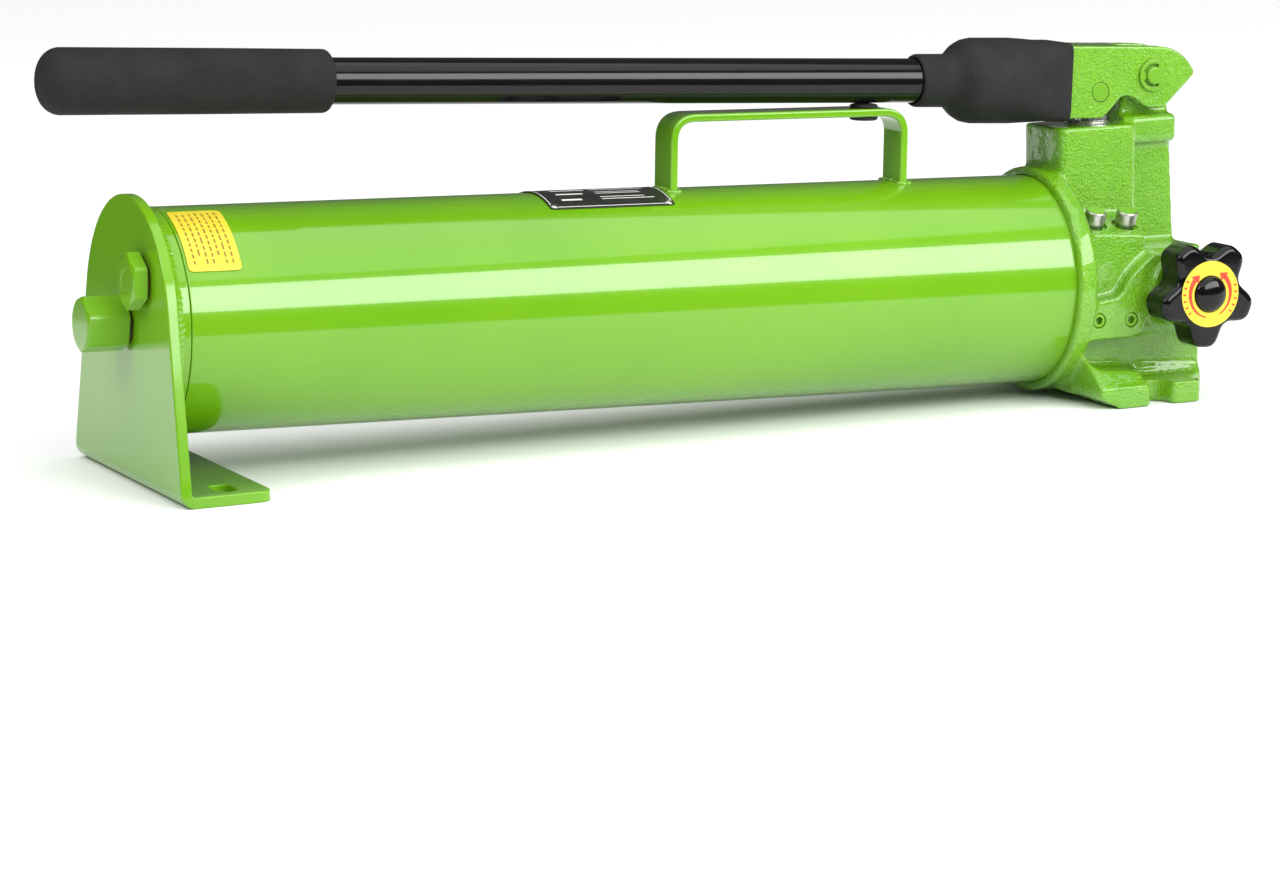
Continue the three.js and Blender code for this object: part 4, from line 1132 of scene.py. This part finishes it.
HANDLE_LOW, HANDLE_HIGH = span("handle_tube", LEVER)
HANDLE_Z = (HANDLE_LOW.z + HANDLE_HIGH.z) / 2
HANDLE = LEVER @ shift(0, 0, HANDLE_Z)
HANDLE_R = (HANDLE_HIGH.z - HANDLE_LOW.z) / 2
CHEEK = span("plunger_pin")[1].y
PIN_R = 5.5


def lever_plugs():
    plugs = []
    for node in ("pivot_pin", "plunger_pin"):
        at = middle(node)
        for sign in (-1, 1):
            plugs.append(placed(rod(6.2, 7.3, CHEEK), crosswise(at, sign)))
    return plugs


def lever_cuts():
    cuts = []
    for node, radius in (("pivot_pin", 5.8), ("plunger_pin", 5.85)):
        cuts.append(placed(rod(radius, -30, 30), crosswise(middle(node))))
    mouth = span("lever_boot", HANDLE)[1].x
    cuts.append(placed(spin([(mouth - 90, 17), (mouth - 2.5, 17), (mouth - 2.5, 34), (mouth - 90, 34)], 96, 0,
                            closed=True), HANDLE))
    return cuts


def handle_tube():
    low, high = HANDLE_LOW.x, HANDLE_HIGH.x
    bore_r = HANDLE_R - 2.5
    return spin([(low, bore_r), (low, HANDLE_R), (high, HANDLE_R), (high, bore_r)], 160, closed=True)


def handle_grip():
    """A dipped foam grip: a domed end, a long straight body and a rounded mouth."""
    low, high = span("handle_grip", HANDLE)
    low.x += 0.2
    r = high.y
    end = 12
    bore_r = HANDLE_R + 0.1
    dome = [(low.x + end * (1 - cos(a)), r * sin(a) ** 0.8, 0)
            for a in (k * QUARTER / 14 for k in range(1, 14))]
    return spin([(low.x, 0), *dome, (low.x + end, r, 0), (high.x - 60, r - 0.25),
                 (high.x - 1.8, r - 0.6, 1.6), (high.x, r - 2.6, 1.2), (high.x - 0.4, bore_r, 0.5),
                 (low.x + 8, bore_r), (low.x + 8, 0)], 128, 1)


BOOT_COLLAR = (
    (0, 13.6, 13.6, 2), (0.7, 14.6, 14.6, 2), (2, 15, 15, 2), (20, 15.1, 15.1, 2), (22.5, 16.4, 16.4, 2),
    (25, 18.6, 18.6, 2), (28, 21.3, 21.3, 2), (32, 23.4, 23.4, 2), (37, 24.3, 24.3, 2.05))
BOOT_SQUARE = (
    (34, 24.5, 24.4, 2.1), (24, 23, 23.8, 2.5), (14, 19.6, 22.9, 4), (8, 18.2, 22.7, 7), (2, 17.9, 22.6, 10),
    (0.6, 17.6, 22.3, 10), (0, 17.1, 21.8, 10))


def boot_half_sizes(x, low, high):
    """Half width, half height and squareness of the boot at a distance along the lever."""
    stations = [(low.x + along, *sizes) for along, *sizes in BOOT_COLLAR]
    stations += [(high.x - back, *sizes) for back, *sizes in BOOT_SQUARE]
    for a, b in zip(stations, stations[1:]):
        if x <= b[0]:
            t = (x - a[0]) / (b[0] - a[0])
            return tuple(p + (q - p) * t for p, q in zip(a[1:], b[1:]))
    return stations[-1][1:]


def lever_boot():
    """A moulded rubber boot: a round collar on the handle that swells and turns square at the lever head."""
    low, high = span("lever_boot", HANDLE)
    segments = 96
    xs = [low.x + t for t in (0, 0.35, 0.7, 1.3, 2)]
    xs += [low.x + 2 + 18 * k / 8 for k in range(1, 9)]
    xs += [low.x + 20 + 17 * k / 20 for k in range(1, 21)]
    xs += list(np.linspace(low.x + 40, high.x - 3, 34)) + [high.x - 2, high.x - 1.2, high.x - 0.5, high.x]
    rings = []
    for x in xs:
        half_w, half_h, square = boot_half_sizes(x, low, high)
        shift = (high.z + low.z) / 2 * min(1, max(0, (x - high.x + 34) / 26))
        ring = []
        for k in range(segments):
            c, s = cos(k * FULL / segments), sin(k * FULL / segments)
            y = half_w * copysign(abs(c) ** (2 / square), c)
            z = half_h * copysign(abs(s) ** (2 / square), s)
            ring.append((x, y, z + shift))
        rings.append(ring)
    rim = rings[-1]
    rings += [[(x, p[1] * 0.94, p[2] * 0.94) for p in rim] for x in (high.x - 0.5, high.x - 6)]
    mouth = [hoop(x, HANDLE_R + 0.2, segments) for x in (low.x + 6, low.x + 0.5)]
    return loft(mouth + rings)


def pin_end(sign):
    """One half of the pivot pin, whose end is turned down for its clip."""
    end = span("pivot_pin")[1].y
    groove = CHEEK + 0.4
    mesh = spin([(0, 0), (0, PIN_R), (groove, PIN_R, 0.1), (groove, 4.9, 0.1), (end, 4.9, 0.9), (end, 0)], 72)
    return placed(mesh, crosswise(PIVOT, sign))


def clip(sign):
    """A circlip with three inner lugs and open mouth, bedded against the cheek."""
    mouth = radians(24)
    outer_r, inner_r, lug_r = 9.1, 6.9, 4.95
    count = 120
    start, end = mouth, FULL - mouth
    angles = [start + (end - start) * k / count for k in range(count + 1)]
    outer = [polar(a, outer_r) for a in angles]
    inner = []
    lugs = (radians(38), radians(180), radians(322))
    for a in reversed(angles):
        near = min(abs(a - lug) for lug in lugs)
        r = lug_r + (inner_r - lug_r) * min(1, max(0, (near - radians(17)) / radians(5)))
        inner.append(polar(a, r))
    mesh = slab(outer + inner, 1.2, 0.25, steps=2)
    return placed(mesh, crosswise(PIVOT, sign) @ shift(CHEEK + 0.6) @ FACING)


def plunger_pin():
    low, high = span("plunger_pin")
    half = (high.y - low.y) / 2
    mesh = spin([(-half, 0), (-half, PIN_R, 0.5), (half, PIN_R, 0.5), (half, 0)], 72)
    return placed(mesh, crosswise(middle("plunger_pin")))


cast("lever_casting", "lever_head", lever_plugs(), lever_cuts(), 0.7, 5, 0.08, "lever", "cast_paint")
piece("handle_bar", handle_tube(), "enamel", HANDLE, "lever", "handle_tube")
piece("grip", handle_grip(), "foam", HANDLE, "lever", "handle_grip", sharp=60)
piece("boot", lever_boot(), "boot_rubber", HANDLE, "lever", "lever_boot", sharp=60)
piece("fulcrum_pin", together(pin_end(-1), pin_end(1)), "screw_paint", body="lever", stands_for="pivot_pin")
piece("clip_near", clip(-1), "screw_paint", body="lever", stands_for="pivot_clip_near")
piece("clip_far", clip(1), "screw_paint", body="lever", stands_for="pivot_clip_far")
piece("ram_pin", plunger_pin(), "screw_paint", body="lever", stands_for="plunger_pin")


# ---------------- parts kept as they are

KEPT = {
    "steel": ("tie_rod", "suction_tube", "suction_ball", "discharge_ball", "unloader_ball", "relief_ball",
              "release_ball", "spindle_gland", "release_spindle", "knob_grub_screw", "handle_pin"),
    "rubber": ("tube_seal_rear", "tube_seal_front", "wiper_ring", "plunger_packing", "spindle_packing"),
    "spring_wire": ("discharge_spring", "unloader_spring", "relief_spring"),
    "gauze": ("suction_filter",),
}
for look, kept in KEPT.items():
    for node in kept:
        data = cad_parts[node].data
        data.materials.clear()
        data.materials.append(LOOKS[look])


# ---------------- floor, light and camera

def plain(name, colour, rough):
    material = bpy.data.materials.new(name)
    material.use_nodes = True
    tree = material.node_tree
    fed(tree, tree.nodes["Principled BSDF"], {"Base Color": (*colour, 1), "Roughness": rough})
    return material


def aimed(name, data, at, towards):
    """An object whose -Z side faces a point."""
    obj = linked(name, data)
    obj.location = at
    obj.rotation_euler = (Vector(towards) - Vector(at)).to_track_quat("-Z", "Y").to_euler()
    return obj


def sheet(name, size, colour, rough):
    mesh = bmesh.new()
    bmesh.ops.create_grid(mesh, size=size)
    data = stored(name, mesh)
    data.materials.append(plain(name, colour, rough))
    return data


def dark_card(name, at, towards, width, height):
    """A black card out of frame that only shows in the gloss of the paint."""
    card = aimed(name, sheet(name, 0.5, (0.01, 0.01, 0.01), 1), at, towards)
    card.scale = (width, height, 1)
    card.visible_camera = card.visible_diffuse = card.visible_shadow = False


floor = linked("floor", sheet("floor", 14, (0.9, 0.9, 0.9), 0.9))

# The world is dimmer in the gloss of the paint than it is as a light.
world = bpy.data.worlds.new("studio")
world.use_nodes = True
studio = world.node_tree
rays = studio.nodes.new("ShaderNodeLightPath").outputs["Is Glossy Ray"]
strength = ranged(studio, rays, 0.32, 0.1, 0, 1)
fed(studio, studio.nodes["Background"], {"Color": (1, 1, 1, 1), "Strength": strength})
bpy.context.scene.world = world

dark_card("left_card", (-0.88, 0.62, 0.45), (-0.58, 0, 0.45), 0.8, 0.9)
dark_card("front_card", (0.15, -0.55, 0.1), (0.15, 0, 0.1), 1.5, 0.2)


def soft_box(name, at, towards, size, power):
    light = bpy.data.lights.new(name, "AREA")
    light.shape = "RECTANGLE"
    light.size, light.size_y = size
    light.energy = power
    aimed(name, light, at, towards)


PUMP = (-0.28, 0, 0.12)
soft_box("front_box", (0.75, -1.9, 1.15), PUMP, (2.8, 1.05), 72)
soft_box("left_box", (-2.6, -0.5, 1.9), PUMP, (1.0, 0.8), 22)

sky = bpy.data.lights.new("sky", "SUN")
sky.energy = 2.3
sky.angle = radians(85)
linked("sky", sky).rotation_euler = (radians(12), radians(-8), 0)

CAMERA = {"at": (-1.28174, -2.08853, 0.41726), "heading": 25.34, "down": 10.43, "roll": -0.87, "lens": 118.9}
camera = linked("camera", bpy.data.cameras.new("camera"))
camera.data.lens = CAMERA["lens"]
camera.location = CAMERA["at"]
camera.rotation_euler = (
    Matrix.Rotation(-radians(CAMERA["heading"]), 3, "Z")
    @ Matrix.Rotation(radians(90 - CAMERA["down"]), 3, "X")
    @ Matrix.Rotation(radians(CAMERA["roll"]), 3, "Z")).to_euler()
bpy.context.scene.camera = camera
bpy.context.scene.view_settings.view_transform = "Standard"
